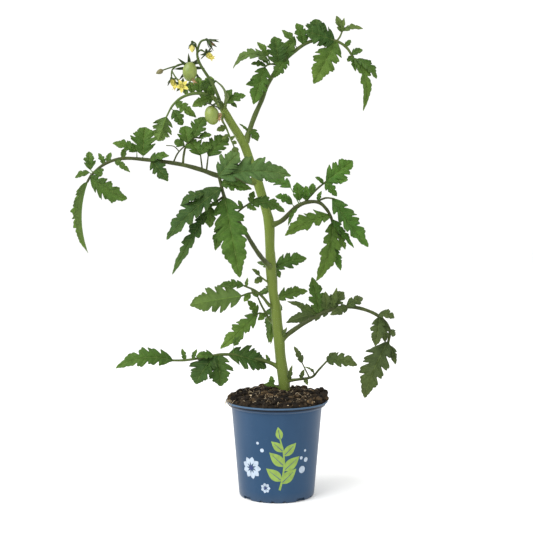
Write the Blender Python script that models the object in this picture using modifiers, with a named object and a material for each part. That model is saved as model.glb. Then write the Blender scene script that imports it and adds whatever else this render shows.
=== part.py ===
"""Tomato plant in a nursery pot: pot, soil, stem, compound leaves, flower truss and two green fruits.

Metres, +Z up. The origin is the centre of the pot's underside, and -Y is the front.
The tables hold millimetres: x to the right, y to the back, z up.
"""
import math

import bmesh
import bpy
from mathutils import Matrix, Vector, noise

MM = 0.001
GAP = 0.3  # clearance between neighbouring pieces

# ---- driving dimensions ----
RIM_RADIUS = 60.0
POT_HEIGHT = 112.0
BASE_RADIUS = 44.0
NECK_RADIUS = 53.0  # the body, just under the lip
LIP_HEIGHT = 6.0
WALL = 1.3
FLOOR = 2.0
POT_STEPS = 28
FOOT_TURN = 38.5  # heading of the first foot notch, degrees from the front
FOOT_NOTCH = (12.0, 4.0)  # width and height
DRAIN_NOTCH = (4.0, 2.5)
DRAIN_SPACING = 18.0  # degrees between the three small notches of a side

SOIL_RADIUS = 56.3  # where it spreads onto the flare of the rim
SOIL_EDGE = 115.0
SOIL_HEAP = 9.5  # how far its middle stands above its edge
SOIL_ROUGHNESS = 3.0

BLADE_THICKNESS = 0.7
EDGE = 0.45  # half width of a leaflet at its ends
STALK_EDGE = 0.6  # and of its flat stalk
VEIN_SWEEP = 0.55  # how far a lobe leans to the leaflet's tip, in half widths
LOBE_CUT = 0.4  # depth of the cuts between lobes
LOBE_REACH = 0.56  # half width of the widest lobe, as a share of a leaflet's width
LOBE_UNEVENNESS = 0.1
EDGE_WAVE = 0.08  # rise and fall of the edge, as a share of the half width there
FOLD = 14.0  # how far the halves of a leaflet rise from flat, degrees
FOLD_WIDTH = 4.0  # narrower stretches than this half width are folded less
BLADE_ROWS = [(9, 100), (7, 70), (5, 40), (3, 16), (2, 0)]  # cross rows of a leaflet longer than this
LEAST_KEPT = 0.7  # part of its pieces' summed volume that a joined node has at the least
CENTRE_STEPS = 12  # places along each run of a stalk where a leaflet can root
SESSILE = 3.5  # a leaflet nearer to its stalk than this has no stalk of its own

RECEPTACLE_RADIUS = 1.7
HEART_RADIUS = 1.2
SEPAL_RADIUS = 0.95
PETAL_START = 0.8  # from the heart's middle
PETAL_ROWS = 2
PETAL_FOLD = 8.0
PETAL_BOW = 0.12
OPEN_SPREAD = 60.0  # a flower that spreads its petals further than this shows its anthers
ANTHER_LENGTH = 6.0
FRUIT_RADIUS = 8.3
FRUIT_HALF_HEIGHT = 11.0

# ---- the way that a leaflet's upper face looks ----
TILT = (0.0, -0.75, 0.65)
FRONT = (0.0, -1.0, 0.2)
BACK = (0.0, 1.0, 0.25)
UP_LEFT = (-0.5, -0.7, 0.5)
UP_RIGHT = (0.5, -0.7, 0.5)
DOWN_LEFT = (-0.35, -0.8, -0.5)
LEFT = (-1.0, -0.25, 0.0)

# ---- the main stem: x, y, z and radius ----
STEM = [
    (9, 0, 74, 4.6),
    (9, 0, 100, 6.4),
    (9, 0, 116, 6.7),
    (8.5, 0, 133, 6.8),
    (6, 0, 150, 6.6),
    (4, 0, 166, 6.2),
    (2.6, 0, 184, 6.5),
    (0.5, 0, 200, 6.0),
    (-1, 0, 219, 6.0),
    (-5, 0, 242, 5.5),
    (-7, 0, 268, 6.2),
    (-8, 0, 290, 5.4),
    (-9, 0, 318, 6.1),
    (-13, 0, 336, 5.3),
    (-23, 0, 369, 5.7),
    (-30, 0, 388, 5.0),
    (-37.5, 0, 409, 5.2),
    (-43.5, 0, 420, 5.0),
    (-52.3, 0, 434, 4.7),
    (-61.5, 0, 450, 4.2),
    (-66, 0, 459, 3.0),
]

# ---- the leaves ----
# stalks: root radius, end radius and a route of x, y, z
# leaflets: foot x, foot z, tip x, tip z, how far the tip lies behind the foot, width, upper side, bow
# of the midrib to that side, and for a folded leaflet the angle of its halves
LEAVES = {
    "leaf_top_right": {
        "stalks": [
            (3.2, 1.5, [(-36, 0, 413), (-27, 3, 440), (-18, 7, 461), (-10, 11, 482), (4, 14, 503),
                        (20, 17, 519),
                        (38, 20, 531), (56, 22, 534), (71, 23, 532), (82, 23, 525), (90, 22, 513)]),
            (1.3, 1.0, [(70, 23, 532), (74, 23, 537), (77, 23, 544)]),
            (1.4, 1.0, [(3, 14, 503), (-4, 11, 504), (-10, 8, 503), (-14, 7, 500)]),
        ],
        "leaflets": [
            (-15, 499, -27, 456, -10, 22, FRONT, 0.05),
            (-20, 483, -36, 479, -8, 9, FRONT, 0.1),
            (-9, 507, -51, 499, 2, 17, UP_LEFT, 0.38),
            (-10, 512, -23, 530, 6, 9, TILT, 0.1),
            (-13, 502, -30, 503, -4, 10, TILT, 0.1),
            (-10, 505, -22, 510, -6, 8, TILT, 0.1),
            (2, 503, -3, 535, -8, 24, TILT, 0.1),
            (9, 510, 17, 533, 4, 18, TILT, 0.1),
            (12, 512, -4, 488, -6, 16, FRONT, 0.1),
            (22, 526, 6, 545, 4, 11, TILT, 0.1),
            (31, 528, 23, 552, -3, 16, TILT, 0.1),
            (69, 534, 34, 542, -9, 28, FRONT, 0.05),
            (45, 532, 46, 557, -3, 23, TILT, 0.06),
            (70, 529, 43, 481, -14, 29, FRONT, 0.06),
            (76, 543, 70, 562, 2, 10, TILT, 0.1),
            (79, 545, 101, 546, -4, 10, TILT, 0.15),
            (77, 545, 79, 559, -3, 5, TILT, 0.1),
            (82, 526, 87, 534, 2, 7, TILT, 0.1),
            (90, 517, 101, 522, 0, 11, TILT, 0.1),
            (88, 514, 83, 508, -3, 7, FRONT, 0.1),
            (92, 514, 101, 450, -8, 17, UP_RIGHT, 0.2),
            (93, 511, 117, 488, -4, 19, UP_RIGHT, 0.12),
            (92, 511, 92, 496, -8, 8, FRONT, 0.1),
            (-35, 425, -44, 434, -3, 4, TILT, 0.1),
            (-32, 428, -22, 414, -3, 11, TILT, 0.1),
        ],
    },
    "leaf_long_left": {
        "stalks": [
            (3.7, 1.3, [(-24, -1, 367), (-45, -6, 369), (-69, -9, 374), (-89, -12, 381), (-113, -15, 387),
                        (-148, -18, 391.5), (-176, -20, 393), (-196, -21, 387), (-211, -21, 375),
                        (-217, -20, 366)]),
            (1.5, 1.0, [(-108, -14, 386), (-107, -12, 398), (-104, -10, 409), (-96, -9, 417),
                        (-88, -8, 417)]),
            (1.1, 0.8, [(-119, -15, 388), (-114, -14, 399), (-106, -11, 408)]),
            (0.7, 0.5, [(-112, -13, 401), (-118, -15, 407), (-127, -16, 408)]),
            (1.1, 0.8, [(-86, -12, 382), (-88, -11, 398)]),
            (1.1, 0.8, [(-81, -12, 380), (-79, -11, 397)]),
        ],
        "leaflets": [
            (-217, 366, -217, 285, -4, 26, LEFT, 0.1, 58),
            (-211, 371, -170, 347, -10, 29, DOWN_LEFT, 0.06),
            (-213, 380, -215, 401, 4, 13, TILT, 0.1),
            (-214, 377, -231, 371, 2, 10, TILT, 0.1),
            (-198, 389, -204, 399, 2, 7, TILT, 0.1),
            (-195, 390, -190, 400, 4, 7, TILT, 0.1),
            (-206, 382, -200, 372, -8, 12, FRONT, 0.1),
            (-177, 395, -174, 405, 3, 7, TILT, 0.1),
            (-184, 390, -167, 377, -6, 8, FRONT, 0.1),
            (-153, 396, -151, 429, 4, 29, TILT, 0.1),
            (-160, 401, -187, 410, -5, 14, UP_LEFT, 0.15),
            (-146, 392, -123, 396, -3, 13, TILT, 0.1),
            (-143, 390, -124, 367, -8, 17, FRONT, 0.1),
            (-106, 409, -118, 412, -2, 14, TILT, 0.1),
            (-96, 417, -83, 441, 3, 20, TILT, 0.1),
            (-90, 417, -75, 420, -4, 10, TILT, 0.1),
            (-103, 411, -106, 431, 4, 19, TILT, 0.1),
            (-88, 397, -101, 414, 6, 21, TILT, 0.1),
            (-79, 396, -56, 418, 6, 26, TILT, 0.1),
            (-87, 398, -76, 412, 4, 15, TILT, 0.1),
        ],
    },
    "leaf_top_left": {
        "stalks": [
            (3.3, 1.0, [(-64, 2, 453), (-72, 5, 463), (-83, 9, 469), (-98, 12, 470), (-112, 13, 465),
                        (-122, 13, 456), (-129, 12, 443)]),
        ],
        "leaflets": [
            (-129, 442, -142, 416, 3, 24, BACK, 0.08),
            (-116, 458, -94, 442, -4, 12, FRONT, 0.12),
            (-121, 451, -110, 433, -3, 14, FRONT, 0.1),
            (-75, 463, -98, 454, -5, 14, FRONT, 0.12),
            (-74, 466, -79, 480, 4, 10, TILT, 0.1),
            (-81, 470, -77, 490, 4, 16, TILT, 0.1),
            (-90, 471, -92, 490, 2, 14, TILT, 0.1),
            (-98, 470, -102, 484, 3, 11, TILT, 0.1),
            (-105, 468, -110, 478, 4, 6, TILT, 0.1),
        ],
    },
    "leaf_apex": {
        "stalks": [
            (2.5, 0.8, [(-62, 0, 449), (-59, -5, 458), (-59, -6, 468), (-63, -7, 476), (-71, -7, 483)]),
            (1.7, 0.8, [(-59, -5, 457), (-56, -7, 463), (-57, -8, 468)]),
        ],
        "leaflets": [
            (-57, 456, -36, 466, 2, 16, TILT, 0.1),
            (-58, 461, -52, 473, 2, 9, TILT, 0.1),
            (-70, 482, -89, 472, 1, 13, TILT, 0.12),
            (-56, 459, -46, 452, 0, 7, TILT, 0.1),
        ],
    },
    "leaf_small_hanging": {
        "stalks": [
            (1.6, 0.8, [(-61, -1, 446), (-63, -7, 438), (-59, -11, 430), (-54, -14, 418), (-49, -15, 406)]),
        ],
        "leaflets": [
            (-59, 429, -69, 425, -3, 8, FRONT, 0.1),
            (-55, 420, -63, 415, -3, 5, FRONT, 0.1),
            (-52, 412, -46, 410, -2, 5, FRONT, 0.1),
            (-53, 415, -48, 419, -3, 4, FRONT, 0.12),
            (-49, 407, -46, 396, -2, 9, FRONT, 0.1),
        ],
    },
    "leaf_front": {
        "stalks": [
            (3.2, 1.8, [(-7, -1, 267), (-12, -14, 273), (-19, -30, 282), (-26, -46, 293), (-34, -57, 307),
                        (-45, -65, 325), (-57, -70, 345), (-64, -72, 371)]),
            (1.3, 1.0, [(-48, -65, 328), (-39, -66, 336), (-30, -66, 342)]),
            (1.4, 1.1, [(-59, -70, 349), (-70, -72, 341), (-79, -74, 331)]),
        ],
        "leaflets": [
            (-70, 371, 15, 372, 6, 37, TILT, 0.1),
            (-61, 365, -28, 357, -3, 13, FRONT, 0.1),
            (-60, 359, -121, 302, -8, 34, UP_LEFT, 0.05),
            (-80, 352, -106, 339, 2, 15, UP_LEFT, 0.15),
            (-79, 334, -115, 264, -6, 19, UP_LEFT, 0.0),
            (-56, 349, -41, 261, -16, 34, FRONT, 0.08),
            (-58, 340, -79, 337, -8, 8, UP_LEFT, 0.1),
            (-60, 322, -68, 290, -10, 14, FRONT, 0.1),
            (-31, 343, 8, 332, -4, 19, UP_RIGHT, 0.15),
            (-31, 343, -26, 355, 2, 8, TILT, 0.1),
            (-34, 340, -23, 334, -5, 7, FRONT, 0.1),
            (-40, 336, -43, 345, -4, 6, TILT, 0.1),
            (-66, 373, -42, 397, 4, 26, TILT, 0.06),
            (-74, 339, -74, 315, -4, 14, FRONT, 0.1),
        ],
    },
    "leaf_mid_right": {
        "stalks": [
            (3.2, 1.5, [(-8, -1, 316), (6, -4, 322), (21, -8, 336.5), (34, -11, 343), (48, -14, 343),
                        (57, -16, 335), (62, -17, 326), (64, -18, 318)]),
            (1.4, 1.1, [(32, -11, 343), (40, -10, 352), (48, -8, 360), (57, -6, 367)]),
            (1.3, 1.0, [(46, -14, 344), (56, -17, 348), (66, -19, 347)]),
        ],
        "leaflets": [
            (58, 368, 88, 391, 4, 24, FRONT, 0.08),
            (64, 367, 82, 369, -4, 9, FRONT, 0.1),
            (56, 366, 69, 350, -5, 11, FRONT, 0.1),
            (54, 365, 44, 372, -4, 7, TILT, 0.1),
            (63, 346, 104, 292, -8, 31, UP_RIGHT, -0.03),
            (59, 326, 9, 305, -12, 26, UP_LEFT, 0.1),
            (34, 324, 13, 316, -2, 7, UP_LEFT, 0.1),
            (65, 320, 45, 253, -6, 23, UP_RIGHT, 0.15),
            (66, 309, 78, 289, -4, 12, UP_RIGHT, 0.1),
            (66, 290, 73, 265, -4, 10, FRONT, 0.05),
            (18, 341, -2, 350, -6, 14, TILT, 0.12),
            (26, 345, 23, 366, 2, 14, TILT, 0.1),
            (32, 347, 33, 362, -6, 11, TILT, 0.1),
            (39, 352, 42, 365, 4, 9, TILT, 0.1),
            (47, 346, 51, 356, -7, 6, TILT, 0.1),
            (16, 360, -19, 374, 28, 17, TILT, 0.06),
            (78, 328, 88, 291, -6, 12, UP_RIGHT, 0.0),
        ],
    },
    "leaf_back": {
        "stalks": [
            (2.8, 1.3, [(-7, 1, 272), (-6, 28, 282), (-4, 56, 284), (-2, 80, 270), (0, 93, 248),
                        (1, 98, 222)]),
        ],
        "leaflets": [
            (-1, 262, 38, 274, 0, 24, TILT, 0.1),
            (-1, 262, 5, 250, -3, 8, FRONT, 0.1),
            (-3, 258, -24, 268, 22, 12, TILT, 0.14),
            (1, 220, 40, 232, 3, 22, TILT, 0.1),
            (0, 238, -24, 226, 10, 10, BACK, 0.1),
            (-1, 222, -9, 166, 6, 20, BACK, 0.06),
        ],
    },
    "leaf_arched_right": {
        "stalks": [
            (3.2, 1.5, [(3, -1, 180), (15, -4, 191), (35, -8, 205), (55, -11, 216), (75, -13, 222),
                        (95, -14, 221),
                        (114, -14, 214), (126, -13, 204), (131, -12, 193), (129, -12, 180)]),
        ],
        "leaflets": [
            (60, 219, 11, 202, 16, 19, BACK, 0.08),
            (46, 215, 12, 228, 4, 10, TILT, 0.1),
            (48, 216, 41, 256, 8, 19, TILT, 0.08),
            (57, 218, 56, 240, 0, 12, TILT, 0.1),
            (62, 219, 78, 239, 10, 18, TILT, 0.1),
            (64, 220, 69, 245, -6, 8, TILT, 0.1),
            (80, 223, 100, 232, 6, 12, UP_RIGHT, 0.33),
            (82, 220, 61, 214, -10, 11, FRONT, 0.1),
            (118, 215, 135, 210, -8, 15, UP_RIGHT, 0.2),
            (119, 211, 113, 178, -8, 17, FRONT, 0.1),
            (122, 208, 126, 181, 4, 12, FRONT, 0.1),
            (130, 196, 137, 188, 3, 8, FRONT, 0.15),
            (128, 182, 101, 118, -10, 35, UP_LEFT, 0.06),
            (132, 177, 137, 156, -6, 9, FRONT, 0.1),
            (5, 184, 12, 198, -5, 6, TILT, 0.1),
        ],
    },
    "leaf_mid_left": {
        "stalks": [
            (2.3, 1.1, [(-1, -1, 219), (-9, -5, 224), (-16, -9, 233), (-25, -12, 241), (-38, -15, 247)]),
            (1.3, 1.0, [(-23, -11, 239), (-33, -15, 238), (-42, -18, 235)]),
        ],
        "leaflets": [
            (-40, 233, -100, 225, -4, 32, BACK, 0.04),
            (-38, 246, -68, 246, 6, 13, TILT, 0.08),
            (-31, 238, -38, 229, -5, 8, FRONT, 0.1),
            (-35, 246, -34, 256, 2, 4, TILT, 0.1),
        ],
    },
    "leaf_mid_left_lower": {
        "stalks": [
            (2.0, 1.0, [(0, 2, 199), (-8, 7, 205), (-13, 10, 213), (-18, 12, 222), (-22, 13, 231)]),
            (1.2, 0.9, [(-13, 9, 211), (-20, 8, 213), (-28, 7, 210)]),
        ],
        "leaflets": [
            (-22, 213, -66, 172, -8, 25, UP_LEFT, -0.02),
            (-13, 212, -22, 205, -6, 8, FRONT, 0.1),
            (-24, 214, -34, 228, -4, 12, TILT, 0.1),
            (-22, 231, -30, 240, 4, 7, TILT, 0.12),
            (-7, 200, -9, 177, -3, 6, FRONT, 0.05),
        ],
    },
    "shoot_axil": {
        "stalks": [
            (1.4, 0.8, [(-6, -1, 248), (-14, -5, 253), (-21, -8, 259)]),
        ],
        "leaflets": [
            (-20, 258, -29, 266, -3, 6, TILT, 0.15),
            (-17, 255, -26, 250, -4, 8, FRONT, 0.1),
        ],
    },
    "leaf_low_left": {
        "stalks": [
            (2.7, 1.3, [(5, -1, 149), (-10, -4, 157), (-28, -8, 162), (-46, -12, 166), (-64, -14, 167),
                        (-84, -16, 164), (-106, -18, 161), (-125, -20, 161)]),
        ],
        "leaflets": [
            (-120, 161, -185, 153, -8, 24, TILT, 0.2),
            (-57, 168, -12, 150, 12, 30, UP_RIGHT, 0.12),
            (-50, 177, -41, 188, 0, 9, TILT, 0.1),
            (-72, 166, -93, 135, -14, 35, UP_LEFT, 0.06),
            (-68, 167, -64, 133, -18, 29, FRONT, 0.08),
            (-74, 168, -93, 166, -10, 12, TILT, 0.1),
            (-106, 162, -110, 174, 4, 6, TILT, 0.1),
            (-98, 162, -92, 174, -3, 6, TILT, 0.1),
            (-9, 157, -13, 166, -2, 5, TILT, 0.1),
        ],
    },
    "leaf_low_right": {
        "stalks": [
            (2.3, 1.1, [(8, -1, 132), (16, -3, 135), (27, -6, 137), (41, -9, 140), (49, -11, 149),
                        (58, -12, 159)]),
            (1.0, 0.7, [(38, -8, 139), (34, -6, 147), (29, -4, 157)]),
        ],
        "leaflets": [
            (59, 160, 93, 155, -6, 19, TILT, 0.16),
            (59, 160, 69, 169, 2, 8, TILT, 0.1),
            (28, 155, 20, 175, 2, 8, TILT, 0.1),
            (28, 138, 32, 149, -4, 6, TILT, 0.1),
            (43, 141, 31, 153, -6, 4, UP_RIGHT, 0.3),
            (33, 138, 36, 131, -4, 5, FRONT, 0.1),
            (14, 136, 18, 154, -5, 6, TILT, 0.1),
        ],
    },
    "sprig_base": {
        "stalks": [
            (1.3, 0.9, [(7, -2, 124), (0, -6, 128), (-5, -8, 131)]),
        ],
        "leaflets": [
            (-5, 131, -7, 141, 1, 7, TILT, 0.1),
            (-2, 129, -15, 131, -3, 7, TILT, 0.15),
        ],
    },
}

# ---- the flower truss: root radius, end radius and route of each of its stalks ----
TRUSS_STALKS = [
    (2.0, 1.1, [(-64, -4, 452), (-67, -10, 463), (-74, -15, 479), (-82, -18, 491), (-87.5, -20, 500),
                (-90.5, -21, 509), (-89.5, -22, 518), (-86, -23, 525), (-80, -23, 527)]),
    (1.0, 0.9, [(-90, -21, 513), (-86, -24, 515), (-79.5, -26, 511)]),
    (1.0, 0.9, [(-90.5, -21, 511), (-91.5, -22, 518), (-93, -23, 523), (-96, -24, 524)]),
    (1.1, 1.2, [(-88, -20, 501), (-94, -13, 501), (-100, -13.8, 496)]),
    (1.1, 0.9, [(-88, -20, 501), (-97, -11, 503), (-107, -13, 501), (-114, -19, 498), (-119, -25, 492),
                (-119.5, -27, 483)]),
    (0.9, 0.8, [(-114, -19, 498), (-122, -24, 495), (-130, -26, 492)]),
    (0.9, 0.8, [(-119, -25, 491), (-114, -31, 483), (-107, -34, 474)]),
    (1.1, 1.2, [(-64, -6, 457), (-66, -15, 459), (-72, -21, 453.6)]),
]

# each calyx: centre, the way that it opens, number, length and spread of its sepals
CALYXES = [
    ((-80, -23, 527), (0.8, -0.2, -0.55), 5, 15, 40),
    ((-79.5, -26, 511), (0.66, -0.3, -0.75), 4, 9, 94),
    ((-96, -24, 524), (0.0, -0.2, -1.0), 4, 6, 66),
    ((-100, -13.8, 496), (0.0, -1.0, -0.35), 6, 17, 80),
    ((-119.5, -27, 483), (0.4, -0.2, -0.9), 4, 9, 62),
    ((-107, -34, 474), (0.1, -1.0, -0.2), 4, 9, 88),
    ((-72, -21, 453.4), (-0.4, 0.0, -1.0), 5, 12, 86),
]

# the closed brown bud at the end of the truss: its route and its radii
BROWN_BUD = ([(-129, -26, 492.4), (-131, -26, 491.5), (-134, -26, 490),
              (-137, -26, 488.5)], [0.9, 2.6, 2.4, 0.5])

# the yellow bud: length and radii of its spindle of folded petals
YELLOW_BUD = ((-96, -24, 524), (0.0, -0.2, -1.0), 10.0, [1.2, 2.4, 2.1, 0.4])

# each corolla: centre, the way that it opens, petals, their length, width and spread
FLOWERS = {
    "flower_star": ((-107, -34, 474), (0.1, -1.0, -0.2), 5, 8.8, 4.8, 76),
    "flower_side": ((-119.5, -27, 483), (0.4, -0.2, -0.9), 4, 12, 4.6, 26),
    "flower_closed": ((-79.5, -26, 511), (0.7, -0.35, -0.62), 4, 9.4, 4.6, 24),
}

# each fruit: centre, tilt of its long axis from the vertical in degrees
FRUITS = {
    "fruit_upper": ((-99, -22.5, 491), 4.0),
    "fruit_lower": ((-74, -21, 442), -12.0),
}

# each withered corolla: centre, the way that it points, petals, length, width, spread
DRY_PETALS = {
    "dry_petals_top": ((-80, -23, 527), (0.8, -0.2, -0.55), 2, 14, 2.6, 12),
    "dry_petals_upper": ((-97.3, -25.2, 484), (0.55, -0.2, -0.8), 3, 10, 3.4, 26),
    "dry_petals_lower": ((-64.5, -24, 445), (-0.1, -0.3, -1.0), 4, 11, 3.6, 26),
}

# ---- base colours ----
LEAF_GREEN = (0.075, 0.16, 0.05)
STEM_GREEN = (0.26, 0.40, 0.12)
TRUSS_GREEN = (0.12, 0.22, 0.07)
FRUIT_GREEN = (0.30, 0.42, 0.13)
PETAL_YELLOW = (0.85, 0.72, 0.08)
DRY_TAN = (0.50, 0.30, 0.14)
POT_BLUE = (0.055, 0.105, 0.205)
SOIL_BROWN = (0.035, 0.025, 0.015)


# ---- tools ----
def new_collection(name):
    collection = bpy.data.collections.new(name)
    bpy.context.scene.collection.children.link(collection)
    return collection


def clear_scene():
    for item in list(bpy.data.objects):
        bpy.data.objects.remove(item, do_unlink=True)
    for collection in list(bpy.data.collections):
        bpy.data.collections.remove(collection)


def material(name, colour, roughness):
    made = bpy.data.materials.new(name)
    made.use_nodes = True
    surface = made.node_tree.nodes["Principled BSDF"]
    surface.inputs["Base Color"].default_value = (*colour, 1.0)
    surface.inputs["Roughness"].default_value = roughness
    surface.inputs["Metallic"].default_value = 0.0
    return made


def add_object(name, mesh, collection):
    item = bpy.data.objects.new(name, mesh)
    collection.objects.link(item)
    return item


def bake(item):
    """Turns the object's curve or modifiers into plain welded mesh."""
    bpy.context.view_layer.update()
    graph = bpy.context.evaluated_depsgraph_get()
    mesh = bpy.data.meshes.new_from_object(item.evaluated_get(graph))
    bm = bmesh.new()
    bm.from_mesh(mesh)
    bmesh.ops.remove_doubles(bm, verts=bm.verts, dist=0.00001)
    bmesh.ops.recalc_face_normals(bm, faces=bm.faces)
    bm.to_mesh(mesh)
    bm.free()
    return mesh


def closed(mesh):
    """True if every edge of the mesh is shared by two faces."""
    bm = bmesh.new()
    bm.from_mesh(mesh)
    whole = all(len(edge.link_faces) == 2 for edge in bm.edges)
    bm.free()
    return whole


def volume(mesh):
    bm = bmesh.new()
    bm.from_mesh(mesh)
    size = bm.calc_volume()
    bm.free()
    return size


def boolean(body, operation, other=None, group=None):
    """Applies one Boolean to the body, with one object or with a collection."""
    change = body.modifiers.new("change", "BOOLEAN")
    change.operation = operation
    if group is None:
        change.object = other
    else:
        change.operand_type = "COLLECTION"
        change.collection = group
    mesh = bake(body)
    if group is None and not closed(mesh):
        change.solver = "MANIFOLD"
        mesh = bake(body)
    body.modifiers.clear()
    body.data = mesh


def fuse(name, pieces, surface):
    """Joins loose pieces into one solid node, all at once where that closes and else one by one."""
    first = pieces[0].data
    least = LEAST_KEPT * sum(volume(piece.data) for piece in pieces)
    body = add_object(name, first, plant)
    bpy.data.objects.remove(pieces[0])
    group = new_collection(name + "_pieces")
    for piece in pieces[1:]:
        workings.objects.unlink(piece)
        group.objects.link(piece)
    boolean(body, "UNION", group=group)
    if not closed(body.data) or volume(body.data) < least:
        body.data = first
        for piece in pieces[1:]:
            boolean(body, "UNION", piece)
    for piece in pieces[1:]:
        bpy.data.objects.remove(piece)
    bpy.data.collections.remove(group)
    body.data.materials.clear()
    body.data.materials.append(surface)
    return body


def cutter(item):
    item.hide_render = True
    item.display_type = "WIRE"
    return item


def curve_through(points, steps):
    """Points of a smooth Catmull-Rom curve through the given ones, with a number of steps to each span."""
    knots = [Vector(p) for p in points]
    ends = [2 * knots[0] - knots[1]] + knots + [2 * knots[-1] - knots[-2]]
    smooth = []
    for a, b, c, d in zip(ends, ends[1:], ends[2:], ends[3:]):
        for k in range(steps):
            t = k / steps
            smooth.append(0.5 * (2 * b + (c - a) * t + (2 * a - 5 * b + 4 * c - d) * t ** 2
                                 + (3 * b - a - 3 * c + d) * t ** 3))
    return smooth + [knots[-1]]


def tube(name, points, radii, resolution=0):
    """A solid rod through points in millimetres, with 4 sides and 2 more for each step of resolution."""
    curve = bpy.data.curves.new(name, "CURVE")
    curve.dimensions = "3D"
    curve.bevel_depth = MM
    curve.bevel_resolution = resolution
    curve.use_fill_caps = True
    spline = curve.splines.new("POLY")
    spline.points.add(len(points) - 1)
    for knot, point, radius in zip(spline.points, points, radii):
        knot.co = (*(Vector(point) * MM), 1.0)
        knot.radius = radius
    item = add_object(name, curve, workings)
    solid = add_object(name, bake(item), workings)
    bpy.data.objects.remove(item)
    return solid


def midrib(foot, tip, face, bow):
    """Functions for the place, the way and the upper side of a blade's midrib, from 0 at its foot to 1."""
    chord = tip - foot
    along = chord.normalized()
    up = (Vector(face) - along * along.dot(Vector(face))).normalized()
    rise = up * (4 * bow * chord.length)

    def place(t):
        return foot + chord * t + rise * (t * (1 - t))

    def way(t):
        return (chord + rise * (1 - 2 * t)).normalized()

    def upper(t):
        return (up - way(t) * way(t).dot(up)).normalized()

    return place, way, upper


def blade(root, foot, tip, width, face, bow=0.1, rows=7, fold=FOLD, cut=LOBE_CUT, turn=0):
    """A thin leaflet or petal from foot to tip, on a flat stalk from its root where that is apart from
    the foot. Its odd rows are lobes, and its even ones are cuts."""
    place, way, upper = midrib(foot, tip, face, bow)
    before = (foot - root).normalized()
    stalked = 1 if before.length else 0
    length = (tip - foot).length

    def half_width(t, row, side):
        spread = math.sin(math.pi * min(t, 0.999) ** 0.5) ** 0.9
        notch = 1.0 - cut * (row % 2 == 0)
        uneven = 1.0 + LOBE_UNEVENNESS * math.sin(2.4 * turn + 1.7 * row + side)
        return max(EDGE, LOBE_REACH * width * spread * notch * uneven)

    bm = bmesh.new()
    bmesh.ops.create_grid(bm, x_segments=rows + stalked, y_segments=2, size=1.0)
    for vert in bm.verts:
        side = round(vert.co.y)
        row = round((vert.co.x + 1) / 2 * (rows + stalked)) - stalked
        if row <= 0 and stalked:
            ahead = before if row < 0 else (before + way(0)).normalized()
            middle = root if row < 0 else foot
            vert.co = (middle + ahead.cross(upper(0)).normalized() * (side * STALK_EDGE)) * MM
            continue
        t = row / rows
        half = half_width(t, row, side) if side else 0.0
        lean = math.radians(fold) * min(half / FOLD_WIDTH, 1.0)
        s = min(t + VEIN_SWEEP * half / length, 1.0) if 0 < row < rows else t
        rise = half * math.sin(lean) + EDGE_WAVE * half * math.sin(2.1 * row + turn)
        across = way(s).cross(upper(s)) * (side * half * math.cos(lean))
        vert.co = (place(s) + across + upper(s) * rise) * MM
    bmesh.ops.triangulate(bm, faces=bm.faces)
    mesh = bpy.data.meshes.new("blade")
    bm.to_mesh(mesh)
    bm.free()
    item = add_object("blade", mesh, workings)
    thick = item.modifiers.new("thick", "SOLIDIFY")
    thick.thickness = BLADE_THICKNESS * MM
    thick.offset = 0.0
    solid = add_object("blade", bake(item), workings)
    bpy.data.objects.remove(item)
    return solid


def ball(name, centre, radius, stretch=1.0, segments=12, rings=8):
    bm = bmesh.new()
    bmesh.ops.create_uvsphere(bm, u_segments=segments, v_segments=rings, radius=radius * MM)
    bmesh.ops.scale(bm, vec=(1, 1, stretch), verts=bm.verts)
    bmesh.ops.translate(bm, vec=Vector(centre) * MM, verts=bm.verts)
    mesh = bpy.data.meshes.new(name)
    bm.to_mesh(mesh)
    bm.free()
    return add_object(name, mesh, workings)


# ---- the pieces ----
def stem_tube(name, grow=0.0):
    """The main stem, or a slightly fatter copy of it to cut its neighbours clear."""
    points = [Vector(row[:3]) for row in STEM]
    points[0] -= Vector((0, 0, grow))
    points[-1] += (points[-1] - points[-2]).normalized() * grow
    return tube(name, points, [row[3] + grow for row in STEM], 3)


def make_stem():
    stem = stem_tube("stem")
    workings.objects.unlink(stem)
    plant.objects.link(stem)
    stem.name = "stem"
    stem.data.materials.append(material("stem_green", STEM_GREEN, 0.5))
    return stem


def make_leaf(name, plan, surface):
    """One compound leaf: its stalks and every leaflet on the nearest point of them, in one solid."""
    pieces = []
    centres = []
    for root_radius, end_radius, route in plan["stalks"]:
        points = curve_through(route, 2 if len(route) == 3 else 1)
        last = len(points) - 1
        radii = [root_radius + (end_radius - root_radius) * (k / last) ** 0.8 for k in range(last + 1)]
        pieces.append(tube("stalk", points, radii, 0 if pieces else 1))
        for a, b in zip(points, points[1:]):
            centres += [a.lerp(b, k / CENTRE_STEPS) for k in range(CENTRE_STEPS + 1)]
    for turn, (foot_x, foot_z, tip_x, tip_z, depth, width, face, bow, *fold) in enumerate(plan["leaflets"]):
        root = min(centres, key=lambda p: (p.x - foot_x) ** 2 + (p.z - foot_z) ** 2)
        foot = Vector((foot_x, root.y, foot_z))
        tip = Vector((tip_x, root.y + depth, tip_z))
        length = (tip - foot).length
        if (foot - root).length < SESSILE or (foot - root).dot(tip - foot) < 0:
            foot = root
        rows = next(count for count, least in BLADE_ROWS if length > least)
        pieces.append(blade(root, foot, tip, width, face, bow, rows, fold[0] if fold else FOLD, turn=turn))
    return fuse(name, pieces, surface)


def clear_of(item, other):
    boolean(item, "DIFFERENCE", other)
    return item


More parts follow.
